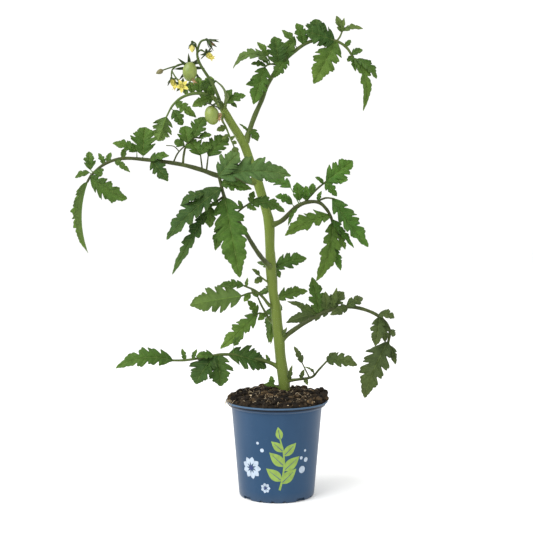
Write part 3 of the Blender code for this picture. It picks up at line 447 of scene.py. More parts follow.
# the leaves: a stalk gives its root radius, end radius and route; a leaflet gives its foot in x and z, its
# tip in x and z, how far the tip lies behind the foot and its width, and then its upper side, bow and fold
# where they aren't the usual ones; tones gives other greens to some of the leaflets by their number
leafPlans = {
    "leaf_top_right": {
        "tone": midGreen, "stalkTone": stalkGreen,
        "tones": {2: paleGreen, 3: freshGreen, 6: deepGreen, 11: deepGreen, 12: deepGreen, 13: freshGreen,
                  14: youngGreen, 15: youngGreen, 16: youngGreen, 20: freshGreen},
        "stalks": [
            (3.2, 1.5, [(-36, 0, 413), (-27, 3, 440), (-18, 7, 461), (-10, 11, 482), (4, 14, 503),
                (20, 17, 519), (38, 20, 531), (56, 22, 534), (71, 23, 532), (82, 23, 525), (90, 22, 513)]),
            (1.3, 1.0, [(70, 23, 532), (74, 23, 537), (77, 23, 544)]),
            (1.4, 1.0, [(3, 14, 503), (-4, 11, 504), (-10, 8, 503), (-14, 7, 500)]),
        ],
        "leaflets": [
            (-15, 499, -27, 456, -10, 22, facing, 0.05), (-20, 483, -36, 479, -8, 9, facing),
            (-9, 507, -51, 499, 2, 17, upLeft, 0.38), (-10, 512, -23, 530, 6, 9),
            (-13, 502, -30, 503, -4, 10), (-10, 505, -22, 510, -6, 8), (2, 503, -3, 535, -8, 24),
            (9, 510, 17, 533, 4, 18), (12, 512, -4, 488, -6, 16, facing), (22, 526, 6, 545, 4, 11),
            (31, 528, 23, 552, -3, 16), (69, 534, 34, 542, -9, 28, facing, 0.05),
            (45, 532, 46, 557, -3, 23, tilted, 0.06), (70, 529, 43, 481, -14, 29, facing, 0.06),
            (76, 543, 70, 562, 2, 10), (79, 545, 101, 546, -4, 10, tilted, 0.15), (77, 545, 79, 559, -3, 5),
            (82, 526, 87, 534, 2, 7), (90, 517, 101, 522, 0, 11), (88, 514, 83, 508, -3, 7, facing),
            (92, 514, 101, 450, -8, 17, upRight, 0.2), (93, 511, 117, 488, -4, 19, upRight, 0.12),
            (92, 511, 92, 496, -8, 8, facing), (-35, 425, -44, 434, -3, 4), (-32, 428, -22, 414, -3, 11),
        ],
    },
    "leaf_long_left": {
        "tone": midGreen, "stalkTone": brownStalk,
        "tones": {0: freshGreen, 12: deepGreen},
        "stalks": [
            (3.7, 1.3, [(-24, -1, 367), (-45, -6, 369), (-69, -9, 374), (-89, -12, 381), (-113, -15, 387),
                (-148, -18, 391.5), (-176, -20, 393), (-196, -21, 387), (-211, -21, 375),
                (-217, -20, 366)]),
            (1.5, 1.0, [(-108, -14, 386), (-107, -12, 398), (-104, -10, 409), (-96, -9, 417),
                (-88, -8, 417)]),
            (1.1, 0.8, [(-119, -15, 388), (-114, -14, 399), (-106, -11, 408)]),
            (0.7, 0.5, [(-112, -13, 401), (-118, -15, 407), (-127, -16, 408)]),
            (1.1, 0.8, [(-86, -12, 382), (-88, -11, 398)]),
            (1.1, 0.8, [(-81, -12, 380), (-79, -11, 397)]),
        ],
        "leaflets": [
            (-216, 366, -216, 285, -4, 24, leftward, 0.09, 58),
            (-211, 371, -170, 347, -10, 29, downLeft, 0.06), (-213, 380, -215, 401, 4, 13),
            (-214, 377, -231, 371, 2, 10), (-198, 389, -204, 399, 2, 7), (-195, 390, -190, 400, 4, 7),
            (-206, 382, -200, 372, -8, 12, facing), (-177, 395, -174, 405, 3, 7),
            (-184, 390, -167, 377, -6, 8, facing), (-153, 396, -151, 429, 4, 29),
            (-160, 401, -187, 410, -5, 14, upLeft, 0.15), (-146, 392, -123, 396, -3, 13),
            (-143, 390, -124, 367, -8, 17, facing), (-106, 409, -118, 412, -2, 14),
            (-96, 417, -83, 441, 3, 20), (-90, 417, -75, 420, -4, 10), (-103, 411, -106, 431, 4, 19),
            (-88, 397, -101, 414, 6, 21), (-79, 396, -56, 418, 6, 26), (-87, 398, -76, 412, 4, 15),
        ],
    },
    "leaf_top_left": {
        "tone": freshGreen, "stalkTone": youngGreen,
        "tones": {2: midGreen},
        "stalks": [
            (3.3, 1.0, [(-64, 2, 453), (-72, 5, 463), (-83, 9, 469), (-98, 12, 470), (-112, 13, 465),
                (-122, 13, 456), (-129, 12, 443)]),
        ],
        "leaflets": [
            (-128, 442, -139.5, 415, 3, 24, away, 0.08), (-116, 458, -94, 442, -4, 12, facing, 0.12),
            (-121, 451, -110, 433, -3, 14, facing), (-75, 463, -98, 454, -5, 14, facing, 0.12),
            (-74, 466, -79, 480, 4, 10), (-81, 470, -77, 490, 4, 16), (-90, 471, -92, 490, 2, 14),
            (-98, 470, -102, 484, 3, 11), (-105, 468, -110, 478, 4, 6),
        ],
    },
    "leaf_apex": {
        "tone": midGreen, "stalkTone": apexStalk,
        "stalks": [
            (2.5, 0.8, [(-62, 0, 449), (-59, -5, 458), (-59, -6, 468), (-63, -7, 476), (-71, -7, 483)]),
            (1.7, 0.8, [(-59, -5, 457), (-56, -7, 463), (-57, -8, 468)]),
        ],
        "leaflets": [
            (-57, 456, -36, 466, 2, 16), (-58, 461, -52, 473, 2, 9),
            (-70, 482, -89, 472, 1, 13, tilted, 0.12), (-56, 459, -46, 452, 0, 7),
        ],
    },
    "leaf_small_hanging": {
        "tone": youngGreen, "stalkTone": youngGreen,
        "stalks": [
            (1.6, 0.8, [(-61, -1, 446), (-63, -7, 438), (-59, -11, 430), (-54, -14, 418), (-49, -15, 406)]),
        ],
        "leaflets": [
            (-59, 429, -69, 425, -3, 8, facing), (-55, 420, -63, 415, -3, 5, facing),
            (-52, 412, -46, 410, -2, 5, facing), (-53, 415, -48, 419, -3, 4, facing, 0.12),
            (-49, 407, -46, 396, -2, 9, facing),
        ],
    },
    "leaf_front": {
        "tone": midGreen, "stalkTone": brownStalk,
        "tones": {0: mistGreen, 2: deepGreen, 3: deepGreen, 4: deepGreen, 12: mistGreen},
        "stalks": [
            (3.2, 1.8, [(-7, -1, 267), (-12, -14, 273), (-19, -30, 282), (-26, -46, 293), (-34, -57, 307),
                (-45, -65, 325), (-57, -70, 345), (-64, -72, 371)]),
            (1.3, 1.0, [(-48, -65, 328), (-39, -66, 336), (-30, -66, 342)]),
            (1.4, 1.1, [(-59, -70, 349), (-70, -72, 341), (-79, -74, 331)]),
        ],
        "leaflets": [
            (-70, 371, 15, 372, 6, 37), (-61, 365, -28, 357, -3, 13, facing),
            (-60, 359, -121, 302, -8, 34, upLeft, 0.05), (-80, 352, -106, 339, 2, 15, upLeft, 0.15),
            (-79, 334, -115, 264, -6, 19, upLeft, 0.0), (-56, 349, -41, 261, -16, 34, facing, 0.08),
            (-58, 340, -79, 337, -8, 8, upLeft), (-60, 322, -68, 290, -10, 14, facing),
            (-31, 343, 8, 332, -4, 19, upRight, 0.15), (-31, 343, -26, 355, 2, 8),
            (-34, 340, -23, 334, -5, 7, facing), (-40, 336, -43, 345, -4, 6),
            (-66, 373, -42, 397, 4, 26, tilted, 0.06), (-74, 339, -74, 315, -4, 14, facing),
        ],
    },
    "leaf_mid_right": {
        "tone": brightGreen, "stalkTone": brownStalk,
        "tones": {5: freshGreen, 7: freshGreen, 8: freshGreen},
        "stalks": [
            (3.2, 1.5, [(-8, -1, 316), (6, -4, 322), (21, -8, 336.5), (34, -11, 343), (48, -14, 343),
                (57, -16, 335), (62, -17, 326), (64, -18, 318)]),
            (1.4, 1.1, [(32, -11, 343), (40, -10, 352), (48, -8, 360), (57, -6, 367)]),
            (1.3, 1.0, [(46, -14, 344), (56, -17, 348), (66, -19, 347)]),
        ],
        "leaflets": [
            (58, 368, 88, 391, 4, 24, facing, 0.08), (64, 367, 82, 369, -4, 9, facing),
            (56, 366, 69, 350, -5, 11, facing), (54, 365, 44, 372, -4, 7),
            (63, 346, 104, 292, -8, 31, upRight, -0.03), (59, 326, 9, 305, -12, 26, upLeft),
            (34, 324, 13, 316, -2, 7, upLeft), (65, 320, 45, 253, -6, 23, upRight, 0.15),
            (66, 309, 78, 289, -4, 12, upRight), (66, 290, 73, 265, -4, 10, facing, 0.05),
            (18, 341, -2, 350, -6, 14, tilted, 0.12), (26, 345, 23, 366, 2, 14), (32, 347, 33, 362, -6, 11),
            (39, 352, 42, 365, 4, 9), (47, 346, 51, 356, -7, 6), (16, 360, -19, 374, 28, 17, tilted, 0.06),
            (78, 328, 88, 291, -6, 12, upRight, 0.0),
        ],
    },
    "leaf_back": {
        "tone": midGreen, "stalkTone": stalkGreen,
        "tones": {3: freshGreen},
        "stalks": [
            (2.8, 1.3, [(-7, 1, 272), (-6, 28, 282), (-4, 56, 284), (-2, 80, 270), (0, 93, 248),
                (1, 98, 222)]),
        ],
        "leaflets": [
            (-1, 262, 38, 274, 0, 24), (-1, 262, 5, 250, -3, 8, facing),
            (-3, 258, -24, 268, 19.5, 12, tilted, 0.14), (1, 220, 40, 232, 1, 19),
            (0, 238, -24, 226, 8, 10, away), (-1, 222, -9, 166, 3.5, 20, away, 0.06),
        ],
    },
    "leaf_arched_right": {
        "tone": dullGreen, "stalkTone": brownStalk,
        "tones": {2: midGreen},
        "stalks": [
            (3.2, 1.5, [(3, -1, 180), (15, -4, 191), (35, -8, 205), (55, -11, 216), (75, -13, 222),
                (95, -14, 221), (114, -14, 214), (126, -13, 204), (131, -12, 193), (129, -12, 180)]),
        ],
        "leaflets": [
            (60, 219, 11, 202, 16, 19, away, 0.08), (46, 215, 12, 228, 4, 10),
            (48, 216, 41, 256, 8, 19, tilted, 0.08), (57, 218, 56, 240, 0, 12), (62, 219, 78, 239, 10, 18),
            (64, 220, 69, 245, -6, 8), (80, 223, 100, 232, 6, 12, upRight, 0.33),
            (82, 220, 61, 214, -10, 11, facing), (118, 215, 135, 210, -8, 15, upRight, 0.2),
            (119, 211, 113, 178, -8, 17, facing), (122, 208, 126, 181, 4, 12, facing),
            (130, 196, 137, 188, 3, 8, facing, 0.15), (128, 182, 101, 118, -10, 35, upLeft, 0.06),
            (132, 177, 137, 156, -6, 9, facing), (5, 184, 12, 198, -5, 6),
        ],
    },
    "leaf_mid_left": {
        "tone": freshGreen, "stalkTone": stalkGreen,
        "tones": {1: midGreen},
        "stalks": [
            (2.3, 1.1, [(-1, -1, 219), (-9, -5, 224), (-16, -9, 233), (-25, -12, 241), (-38, -15, 247)]),
            (1.3, 1.0, [(-23, -11, 239), (-33, -15, 238), (-42, -18, 235)]),
        ],
        "leaflets": [
            (-40, 233, -100, 225, -4, 32, away, 0.04), (-38, 246, -68, 246, 6, 13, tilted, 0.08),
            (-31, 238, -38, 229, -5, 8, facing), (-35, 246, -34, 256, 2, 4),
        ],
    },
    "leaf_mid_left_lower": {
        "tone": freshGreen, "stalkTone": stalkGreen,
        "stalks": [
            (2.0, 1.0, [(0, 2, 199), (-8, 7, 205), (-13, 10, 213), (-18, 12, 222), (-22, 13, 231)]),
            (1.2, 0.9, [(-13, 9, 211), (-20, 8, 213), (-28, 7, 210)]),
        ],
        "leaflets": [
            (-22, 213, -66, 172, -8, 25, upLeft, -0.02), (-13, 212, -22, 205, -6, 8, facing),
            (-24, 214, -34, 228, -4, 12), (-22, 231, -30, 240, 4, 7, tilted, 0.12),
            (-6, 200, -7, 177, -3, 6, facing, 0.05),
        ],
    },
    "shoot_axil": {
        "tone": youngGreen, "stalkTone": youngGreen,
        "stalks": [
            (1.4, 0.8, [(-6, -1, 248), (-14, -5, 253), (-21, -8, 259)]),
        ],
        "leaflets": [
            (-20, 258, -29, 266, -3, 6, tilted, 0.15), (-17, 255, -26, 250, -4, 8, facing),
        ],
    },
    "leaf_low_left": {
        "tone": midGreen, "stalkTone": stalkGreen,
        "tones": {1: deepGreen, 3: deepGreen, 4: deepGreen},
        "stalks": [
            (2.7, 1.3, [(5, -1, 149), (-10, -4, 157), (-28, -8, 162), (-46, -12, 166), (-64, -14, 167),
                (-84, -16, 164), (-106, -18, 161), (-125, -20, 161)]),
        ],
        "leaflets": [
            (-120, 161, -185, 153, -8, 24, tilted, 0.2), (-57, 168, -12, 150, 12, 30, upRight, 0.12),
            (-50, 177, -41, 188, 0, 9), (-72, 166, -93, 135, -14, 35, upLeft, 0.06),
            (-68, 167, -64, 133, -18, 29, facing, 0.08), (-74, 168, -93, 166, -10, 12),
            (-106, 162, -110, 174, 4, 6), (-98, 162, -92, 174, -3, 6), (-9, 157, -13, 166, -2, 5),
        ],
    },
    "leaf_low_right": {
        "tone": dullGreen, "stalkTone": brownStalk,
        "stalks": [
            (2.3, 1.1, [(8, -1, 132), (16, -3, 135), (27, -6, 137), (41, -9, 140), (49, -11, 149),
                (58, -12, 159)]),
            (1.0, 0.7, [(38, -8, 139), (34, -6, 147), (29, -4, 157)]),
        ],
        "leaflets": [
            (59, 160, 93, 155, -6, 19, tilted, 0.16), (59, 160, 69, 169, 2, 8), (28, 155, 20, 175, 2, 8),
            (28, 138, 32, 149, -4, 6), (43, 141, 31, 153, -6, 4, upRight, 0.3),
            (33, 138, 36, 131, -4, 5, facing), (14, 136, 18, 154, -5, 6),
        ],
    },
    "sprig_base": {
        "tone": midGreen, "stalkTone": stalkGreen,
        "stalks": [
            (1.3, 0.9, [(7, -2, 124), (0, -6, 128), (-5, -8, 131)]),
        ],
        "leaflets": [
            (-5, 131, -7, 141, 1, 7), (-2, 129, -15, 131, -3, 7, tilted, 0.15),
        ],
    },
}

# leaflets: one rule of lobes, teeth, folds and swellings, with a leaflet's number for its turn
blades = {
    "rowLength": 0.85,  # fine rows along a leaflet
    "mostRows": 84,
    "fewestRows": 12,
    "columns": [(12, 30), (8, 12), (6, 0)],  # columns across a leaflet for a length above
    "lobeRows": [(13, 80), (11, 46), (9, 26), (6.6, 13), (4.4, 0)],  # rows of lobes for a length above
    "cutShares": [(1.0, 7), (0.9, 5), (0.6, 0)],  # how deep the cuts go for a number of lobes above
    "thickness": 0.4,
    "edge": 0.16,  # half width at the very tip
    "veinSweep": 0.55,  # how far side veins lean to the tip
    "fullness": 0.54,  # less puts the widest place nearer the foot
    "reach": 0.54,  # half width of the widest lobe, as a share of the width
    "wholeFrom": 0.62,  # where the lobes end and the whole tip begins
    "cutAtFoot": 0.55,
    "cutAtTip": 0.07,
    "sinus": 4.5,  # more makes narrower cuts
    "toothDepth": 0.10,
    "uneven": 0.09,
    "usual": (tilted, 0.1, 14.0),  # upper side, bow and fold of a leaflet that names none
    "foldWidth": 4.0,
    "edgeWave": 0.09,
    "puff": 0.09,  # how far the blade swells between its veins, as a share of its half width
    "droop": 0.10,
    "arch": 0.05,
    "ripple": 0.35,
    "sessile": 3.5,  # a leaflet nearer to its stalk than this sits on it
    "stalkRadius": 0.825,
    "ribRadius": 0.42,
    "ribDepth": 0.22,
    "clasp": (0.35, 7),  # how much thicker a leaf's foot is, and how far that reaches
    "claspShare": 0.9,  # how much of the stem's green its foot takes on
    "claspReach": 13,
    "claspTone": (0.115, 0.160, 0.028),
}


def fitting(table, size):
    return next(value for value, least in table if size > least)


def midribOf(foot, tip, face, bow):
    chord = tip - foot
    along = chord.normalized()
    up = (Vector(face) - along * along.dot(Vector(face))).normalized()
    rise = up * (4 * bow * chord.length)

    def place(t):
        return foot + chord * t + rise * (t * (1 - t))

    def way(t):
        return (chord + rise * (1 - 2 * t)).normalized()

    def upper(t):
        return (up - way(t) * way(t).dot(up)).normalized()

    return place, way, upper


def layBlade(midrib, length, rows, columns, halfAt, riseAt, sweep, tone, lobes=1.0):
    # a grid laid along the midrib: halfAt gives its half width and riseAt its height over the midrib
    place, way, upper = midrib
    item = addShape(shapes.primitive_grid_add, x_subdivisions=rows, y_subdivisions=columns, size=2)
    item.data.attributes.new("leafPlace", "FLOAT_VECTOR", "POINT")
    item.data.attributes.new("skinTone", "FLOAT_COLOR", "POINT")
    own = item.data.attributes["leafPlace"]
    skin = item.data.attributes["skinTone"]
    for vert in item.data.vertices:
        t = (vert.co.x + 1) / 2
        share = vert.co.y
        half = halfAt(t, share)
        s = min(t + sweep * abs(share) * half / length, 1.0)
        aside, rise = riseAt(t, share, half)
        own.data[vert.index].vector = (share * half, t * lobes, length / lobes)
        across = upper(s).cross(way(s)) * aside
        vert.co = (place(s) + across + upper(s) * rise) * mm
        # darker at the foot and along the very edge, yellower to the tip
        shade = 0.78 + 0.42 * t - 0.22 * max(abs(share) - 0.8, 0.0) / 0.2
        red, green, blue = scaled(tone, shade)
        skin.data[vert.index].color = (red * (0.92 + 0.2 * t), green, blue, 1.0)
    return item


def growLeaflet(midrib, length, width, fold, turn, tone):
    lobes = fitting(blades["lobeRows"], length)
    rows = int(min(max(length / blades["rowLength"], blades["fewestRows"]), blades["mostRows"]))
    cutShare = fitting(blades["cutShares"], lobes)
    wholeFrom = blades["wholeFrom"] + 0.08 * math.sin(3.3 * turn + 0.7)

    def halfAt(t, share):
        # lobes in the lower part, and a whole blade from there to the tip
        side = 1 if share < 0 else -1
        x = t * lobes + 0.25 * math.sin(1.9 * turn + side)
        outline = math.sin(math.pi * min(max(t, 0.0008), 0.9995) ** blades["fullness"]) ** 0.8
        lobed = min(max((wholeFrom - t) / 0.12, 0.0), 1.0) * (1 - 0.5 * t)
        cut = cutShare * between(blades["cutAtTip"], blades["cutAtFoot"], lobed)
        sinus = (0.5 + 0.5 * math.cos(math.pi * x)) ** blades["sinus"] * min(t / 0.08, 1.0)
        tooth = 1 - abs(math.sin(math.pi * x + 0.35 * math.sin(turn + side)))
        uneven = 1 + blades["uneven"] * math.sin(2.4 * turn + 1.7 * x + side)
        reach = blades["reach"] * width * outline * (1 - cut * sinus) * uneven
        return max(blades["edge"], reach * (1 - blades["toothDepth"] * tooth ** 2))

    def riseAt(t, share, half):
        x = t * lobes
        out = abs(share)
        lean = math.radians(fold) * min(half / blades["foldWidth"], 1.0)
        offVein = 0.5 + 0.5 * math.cos(math.pi * x)
        swell = blades["puff"] * half * offVein * math.sin(math.pi * min(out * 1.02, 1.0))
        wave = blades["edgeWave"] * half * math.sin(2.1 * x + turn + share) * share * share
        curl = blades["droop"] * half * (1 - offVein) * out ** 3
        arch = blades["arch"] * half * math.sin(math.pi * out)
        spot = Vector((x * 0.9, share * 2.2, turn * 3.7))
        ripple = blades["ripple"] * noise.noise(spot) * min(half / 6, 1.0)
        rise = out * half * math.sin(lean) + swell + wave - curl + arch + ripple
        return share * half * math.cos(lean), rise

    columns = fitting(blades["columns"], length)
    return layBlade(midrib, length, rows, columns, halfAt, riseAt, blades["veinSweep"], tone, lobes)


def ribRun(root, foot, midrib, length):
    # the leaflet's own stalk, running on under its blade as the midrib
    place, way, upper = midrib
    steps = 9 if length > 20 else 5
    points = []
    radii = []
    if (foot - root).length > 0.5:
        points.append(root)
        radii.append(blades["stalkRadius"])
    thick = blades["ribRadius"] * min(1.15, 0.55 + length / 60)
    for k in range(steps + 1):
        t = 0.94 * k / steps
        points.append(place(t) - upper(t) * blades["ribDepth"])
        radii.append(max(0.1, thick * (1 - 0.85 * t)))
    return points, radii


def stalkRun(number, rootRadius, endRadius, route):
    # a leaf's first stalk clasps the stem with its foot
    points = curveThrough(route, 5)
    more, span = blades["clasp"]
    radii = []
    reach = 0.0
    for k, point in enumerate(points):
        reach += (point - points[max(k - 1, 0)]).length
        radius = between(rootRadius, endRadius, (k / (len(points) - 1)) ** 0.8)
        if number == 0:
            radius *= 1 + more * math.exp(-(reach / span) ** 2)
        radii.append(radius * (1 + 0.05 * math.sin(1.3 * k + number)))
    return points, radii


def growLeaf(node, plan, surfaces):
    stalkRuns = [stalkRun(number, *stalk) for number, stalk in enumerate(plan["stalks"])]
    line = []
    for points, radii in stalkRuns:
        for a, b in zip(points, points[1:]):
            line += [a.lerp(b, k / 3) for k in range(4)]
    ribRuns = []
    sheets = []
    for turn, (footX, footZ, tipX, tipZ, depth, width, *own) in enumerate(plan["leaflets"]):
        face, bow, fold = (*own, *blades["usual"][len(own):])
        root = min(line, key=lambda p: (p.x - footX) ** 2 + (p.z - footZ) ** 2)
        foot = Vector((footX, root.y, footZ))
        tip = Vector((tipX, root.y + depth, tipZ))
        if (foot - root).length < blades["sessile"] or (foot - root).dot(tip - foot) < 0:
            foot = root
        tone = scaled(plan.get("tones", {}).get(turn, plan["tone"]), 1 + 0.10 * math.sin(5.1 * turn + 1.3))
        midrib = midribOf(foot, tip, face, bow)
        length = (tip - foot).length
        sheets.append(growLeaflet(midrib, length, width, fold, turn, tone))
        ribRuns.append(ribRun(root, foot, midrib, length))
    foliage = dress(joinAll(node + "Blades", sheets), *surfaces)
    thicken(foliage, blades["thickness"], material_offset=1)  # the second surface is the underside's
    clasp = Vector(plan["stalks"][0][2][0])

    def stalkTone(place):
        # near the stem the stalk takes on the stem's green
        near = blades["claspShare"] * math.exp(-((place - clasp).length / blades["claspReach"]) ** 2)
        return Vector(plan["stalkTone"]).lerp(Vector(blades["claspTone"]), near)

    stalks = tint(drawRuns(node + "Stalks", stalkRuns, 3), stalkTone)
    ribs = tint(drawRuns(node + "Ribs", ribRuns, 1), scaled(plan["tone"], 1.25))
    for item in (stalks, ribs):
        dress(item, surfaces[2])
    settle(smooth(joinAll(camel(node), [foliage, stalks, ribs]), 50), [node])
    return stalkRuns


def makeLeaves():
    upperSide = leafSurface("leafUpperSide", 0.0, 0.42, 0.5, -1.0)
    underSide = leafSurface("leafUnderSide", 0.34, 0.5, 0.62, 1.0)
    surfaces = (upperSide, underSide, skinSurface("stalkSkin"))
    runs = []
    for name, plan in leafPlans.items():
        runs += growLeaf(name, plan, surfaces)
    print("leaves grown:", len(leafPlans))
    return runs


# the main stem: x, y, z and radius
stem = {
    "route": [
        (9, 0, 74, 4.6), (9, 0, 100, 6.4), (9, 0, 116, 6.7), (8.5, 0, 133, 6.8), (6, 0, 150, 6.6),
        (4, 0, 166, 6.2), (2.6, 0, 184, 6.5), (0.5, 0, 200, 6.0), (-1, 0, 219, 6.0), (-5, 0, 242, 5.5),
        (-7, 0, 268, 6.2), (-8, 0, 290, 5.4), (-9, 0, 318, 6.1), (-13, 0, 336, 5.3), (-23, 0, 369, 5.7),
        (-30, 0, 388, 5.0), (-37.5, 0, 409, 5.2), (-43.5, 0, 420, 5.0), (-52.3, 0, 434, 4.7),
        (-61.5, 0, 450, 4.2), (-66, 0, 459, 3.0),
    ],
    "sides": 40,
    "steps": 9,
    "ridge": 0.018,
    "knots": 0.035,
    "footTone": (0.085, 0.118, 0.018),
    "topTone": (0.130, 0.185, 0.028),
    "topFrom": 0.625,  # the share of its height from which the stem has its top tone
    "paleTone": (0.185, 0.235, 0.050),
    "paleShare": 0.45,
}


def makeStem():
    line = curveThrough(stem["route"], stem["steps"])
    points = [Vector(knot[:3]) for knot in line]
    radii = [knot[3] for knot in line]
    low, high = stem["route"][0][2], stem["route"][-1][2]

    def skin(t, turn):
        spot = Vector((math.cos(turn) * 1.6, math.sin(turn) * 1.6, t * 26))
        ridges = stem["ridge"] * math.sin(5 * turn + 4 * t) + 0.5 * stem["ridge"] * math.sin(13 * turn)
        return 1 + ridges + stem["knots"] * noise.noise(spot)

    def tone(place):
        rise = (place.z - low) / (high - low)
        base = Vector(stem["footTone"]).lerp(Vector(stem["topTone"]), min(1.0, rise / stem["topFrom"]))
        pale = 0.5 + 0.5 * noise.noise(Vector((0, 0, place.z * 0.045)))
        return base.lerp(Vector(stem["paleTone"]), stem["paleShare"] * pale)

    rod = tint(growRod("mainStem", points, radii, stem["sides"], skin), tone)
    dress(rod, skinSurface("stemSkin", streakShare=0.42, roughness=0.48, relief=0.2))
    settle(smooth(rod), ["stem"])
    print("stem grown")
    return points, radii


# fine white hairs on the young skin
hairs = {
    "width": 0.035,
    "tones": ((0.62, 0.68, 0.46), (0.82, 0.84, 0.70)),
    # count, length and the share of the stem's length from which they grow
    "onStem": (5200, 0.9, 0.12),
    "onApex": (900, 1.5, 0.86),
    "onStalks": (1.3, 0.6),  # hairs for each mm of a stalk, and their length
    "sunk": 0.96,  # where they root, as a share of the skin's radius
    "lean": 0.35,
    "sizes": (0.5, 1.2),
}


def hairPlaces(points, radii, count, length, fromShare=0.0):
    places = []
    steps = [0.0]
    for a, b in zip(points, points[1:]):
        steps.append(steps[-1] + (b - a).length)
    for k in range(count):
        reach = steps[-1] * (fromShare + (1 - fromShare) * draw.random())
        i = min(bisect_right(steps, reach) - 1, len(points) - 2)
        t = (reach - steps[i]) / max(steps[i + 1] - steps[i], 0.001)
        ahead = (points[i + 1] - points[i]).normalized()
        out = Matrix.Rotation(draw.uniform(0, 2 * math.pi), 3, ahead) @ ahead.orthogonal().normalized()
        foot = points[i].lerp(points[i + 1], t) + out * (radii[i] * hairs["sunk"])
        lean = (out + ahead * draw.uniform(-hairs["lean"], hairs["lean"])).normalized()
        size = length * draw.uniform(*hairs["sizes"])
        turned = lean.to_track_quat("Z", "Y").to_matrix().to_4x4()
        places.append(Matrix.Translation(foot) @ turned @ Matrix.Diagonal((1, 1, size, 1)))
    return places


def makeHairs(stemLine, stalkRuns):
    model = addShape(shapes.primitive_cone_add, vertices=3, radius1=hairs["width"], radius2=0.0, depth=1.0)
    model.data.transform(Matrix.Translation((0, 0, 0.5)))
    white = mottled("hairWhite", 0.5, 300.0, *hairs["tones"], Sheen_Weight=0.3)
    places = hairPlaces(*stemLine, *hairs["onStem"]) + hairPlaces(*stemLine, *hairs["onApex"])
    settle(dress(spread("stemHairs", model, places), white))
    perMm, length = hairs["onStalks"]
    places = []
    for points, radii in stalkRuns:
        reach = sum((b - a).length for a, b in zip(points, points[1:]))
        places += hairPlaces(points, radii, int(reach * perMm), length)
    settle(dress(spread("stalkHairs", model, places), white))
    discard(model)
    print("hairs set:", len(places))


# the flower truss: root radius, end radius and route of each of its stalks; each calyx: centre, the way
# that it opens, number, length and spread of its sepals
truss = {
    "stalks": [
        (2.0, 1.1, [(-64, -4, 452), (-67, -10, 463), (-74, -15, 479), (-82, -18, 491), (-87.5, -20, 500),
                    (-90.5, -21, 509), (-89.5, -22, 518), (-86, -23, 525), (-80, -23, 527)]),
        (1.0, 0.9, [(-90, -21, 513), (-86, -24, 515), (-79.5, -26, 511)]),
        (1.0, 0.9, [(-90.5, -21, 511), (-91.5, -22, 518), (-93, -23, 523), (-96, -24, 524)]),
        (1.1, 1.2, [(-88, -20, 501), (-94, -13, 501), (-100, -13.8, 496)]),
        (1.1, 0.9, [(-88, -20, 501), (-97, -11, 503), (-107, -13, 501), (-114, -19, 498), (-119, -25, 492),
                    (-119.5, -27, 483)]),
        (0.9, 0.8, [(-114, -19, 498), (-122, -24, 495), (-130, -26, 492)]),
        (0.9, 0.8, [(-119, -25, 491), (-114, -31, 483), (-107, -34, 474)]),
        (1.1, 1.2, [(-64, -6, 457), (-66, -15, 459), (-72, -21, 453.6)]),
    ],
    "knuckle": 0.4,
    "withoutKnuckle": (0, 5),
    "calyxes": [
        ((-80, -23, 527), (0.8, -0.2, -0.55), 7, 15, 30),
        ((-79.5, -26, 511), (0.66, -0.3, -0.75), 6, 10, 94),
        ((-96, -24, 524), (0.0, -0.2, -1.0), 5, 9, 34),
        ((-100, -13.8, 496), (0.0, -1.0, -0.35), 8, 18, 80),
        ((-119.5, -27, 483), (0.4, -0.2, -0.9), 5, 10, 58),
        ((-107, -34, 474), (0.1, -1.0, -0.2), 5, 9, 88),
        ((-72, -21, 453.4), (-0.4, 0.0, -1.0), 6, 13, 80),
    ],
    "brownBud": [(-129, -26, 492.4), (-131, -26, 491.5), (-134, -26, 490), (-137, -26, 488.5)],
    "brownBudRadii": [0.9, 2.6, 2.4, 0.5],
    "brownBudTone": (0.17, 0.15, 0.075),
    "tone": (0.060, 0.092, 0.022),
    "receptacle": 1.7,
    "heart": 1.2,
    "gap": 0.3,
    "sepalWidth": 3.7,
    "sepalBow": -0.07,
    "sepalTone": (0.034, 0.056, 0.016),
    "sepalFold": 16,
    "sepalPeak": 0.75,
    "thickness": 0.35,
}


def rayOf(axis, k, count, spreadAngle, half=0.0):
    # the way of one of the blades round an axis, and the way that its inner side looks
    axis = Vector(axis).normalized()
    out = Matrix.Rotation(2 * math.pi * (k + half) / count, 3, axis) @ axis.orthogonal().normalized()
    lean = math.radians(spreadAngle)
    return axis * math.cos(lean) + out * math.sin(lean), axis * math.sin(lean) - out * math.cos(lean)


def slimBlade(foot, tip, width, face, bow, tone, fold, peak, turn):
    # an unlobed blade: sepal or petal
    def halfAt(t, share):
        full = math.sin(math.pi * min(max(t, 0.01), 0.999) ** peak)
        return max(0.1, 0.5 * width * full * (1 + 0.06 * math.sin(9 * t + turn + share)))

    def riseAt(t, share, half):
        lean = math.radians(fold)
        flutter = 0.12 * half * math.sin(7 * t + turn) * share
        return share * half * math.cos(lean), abs(share) * half * math.sin(lean) + flutter

    return layBlade(midribOf(foot, tip, face, bow), (tip - foot).length, 14, 4, halfAt, riseAt, 0.1, tone)


def ballAt(name, centre, radius, stretch=1.0, segments=20, rings=12):
    item = addShape(shapes.primitive_uv_sphere_add, segments=segments, ring_count=rings, radius=radius * mm)
    item.data.transform(Matrix.Translation(Vector(centre) * mm) @ Matrix.Diagonal((1, 1, stretch, 1)))
    item.name = name
    return item


def ribbed(count, depth, twist=0.0):
    # a rod's skin with ribs along it
    return lambda t, turn: 1 + depth * math.cos(count * turn + twist * t)


def knuckled(number, t):
    # the knuckle halfway along a flower's stalk
    if number in truss["withoutKnuckle"]:
        return 1.0
    return 1 + truss["knuckle"] * math.exp(-((t - 0.55) * 14) ** 2)


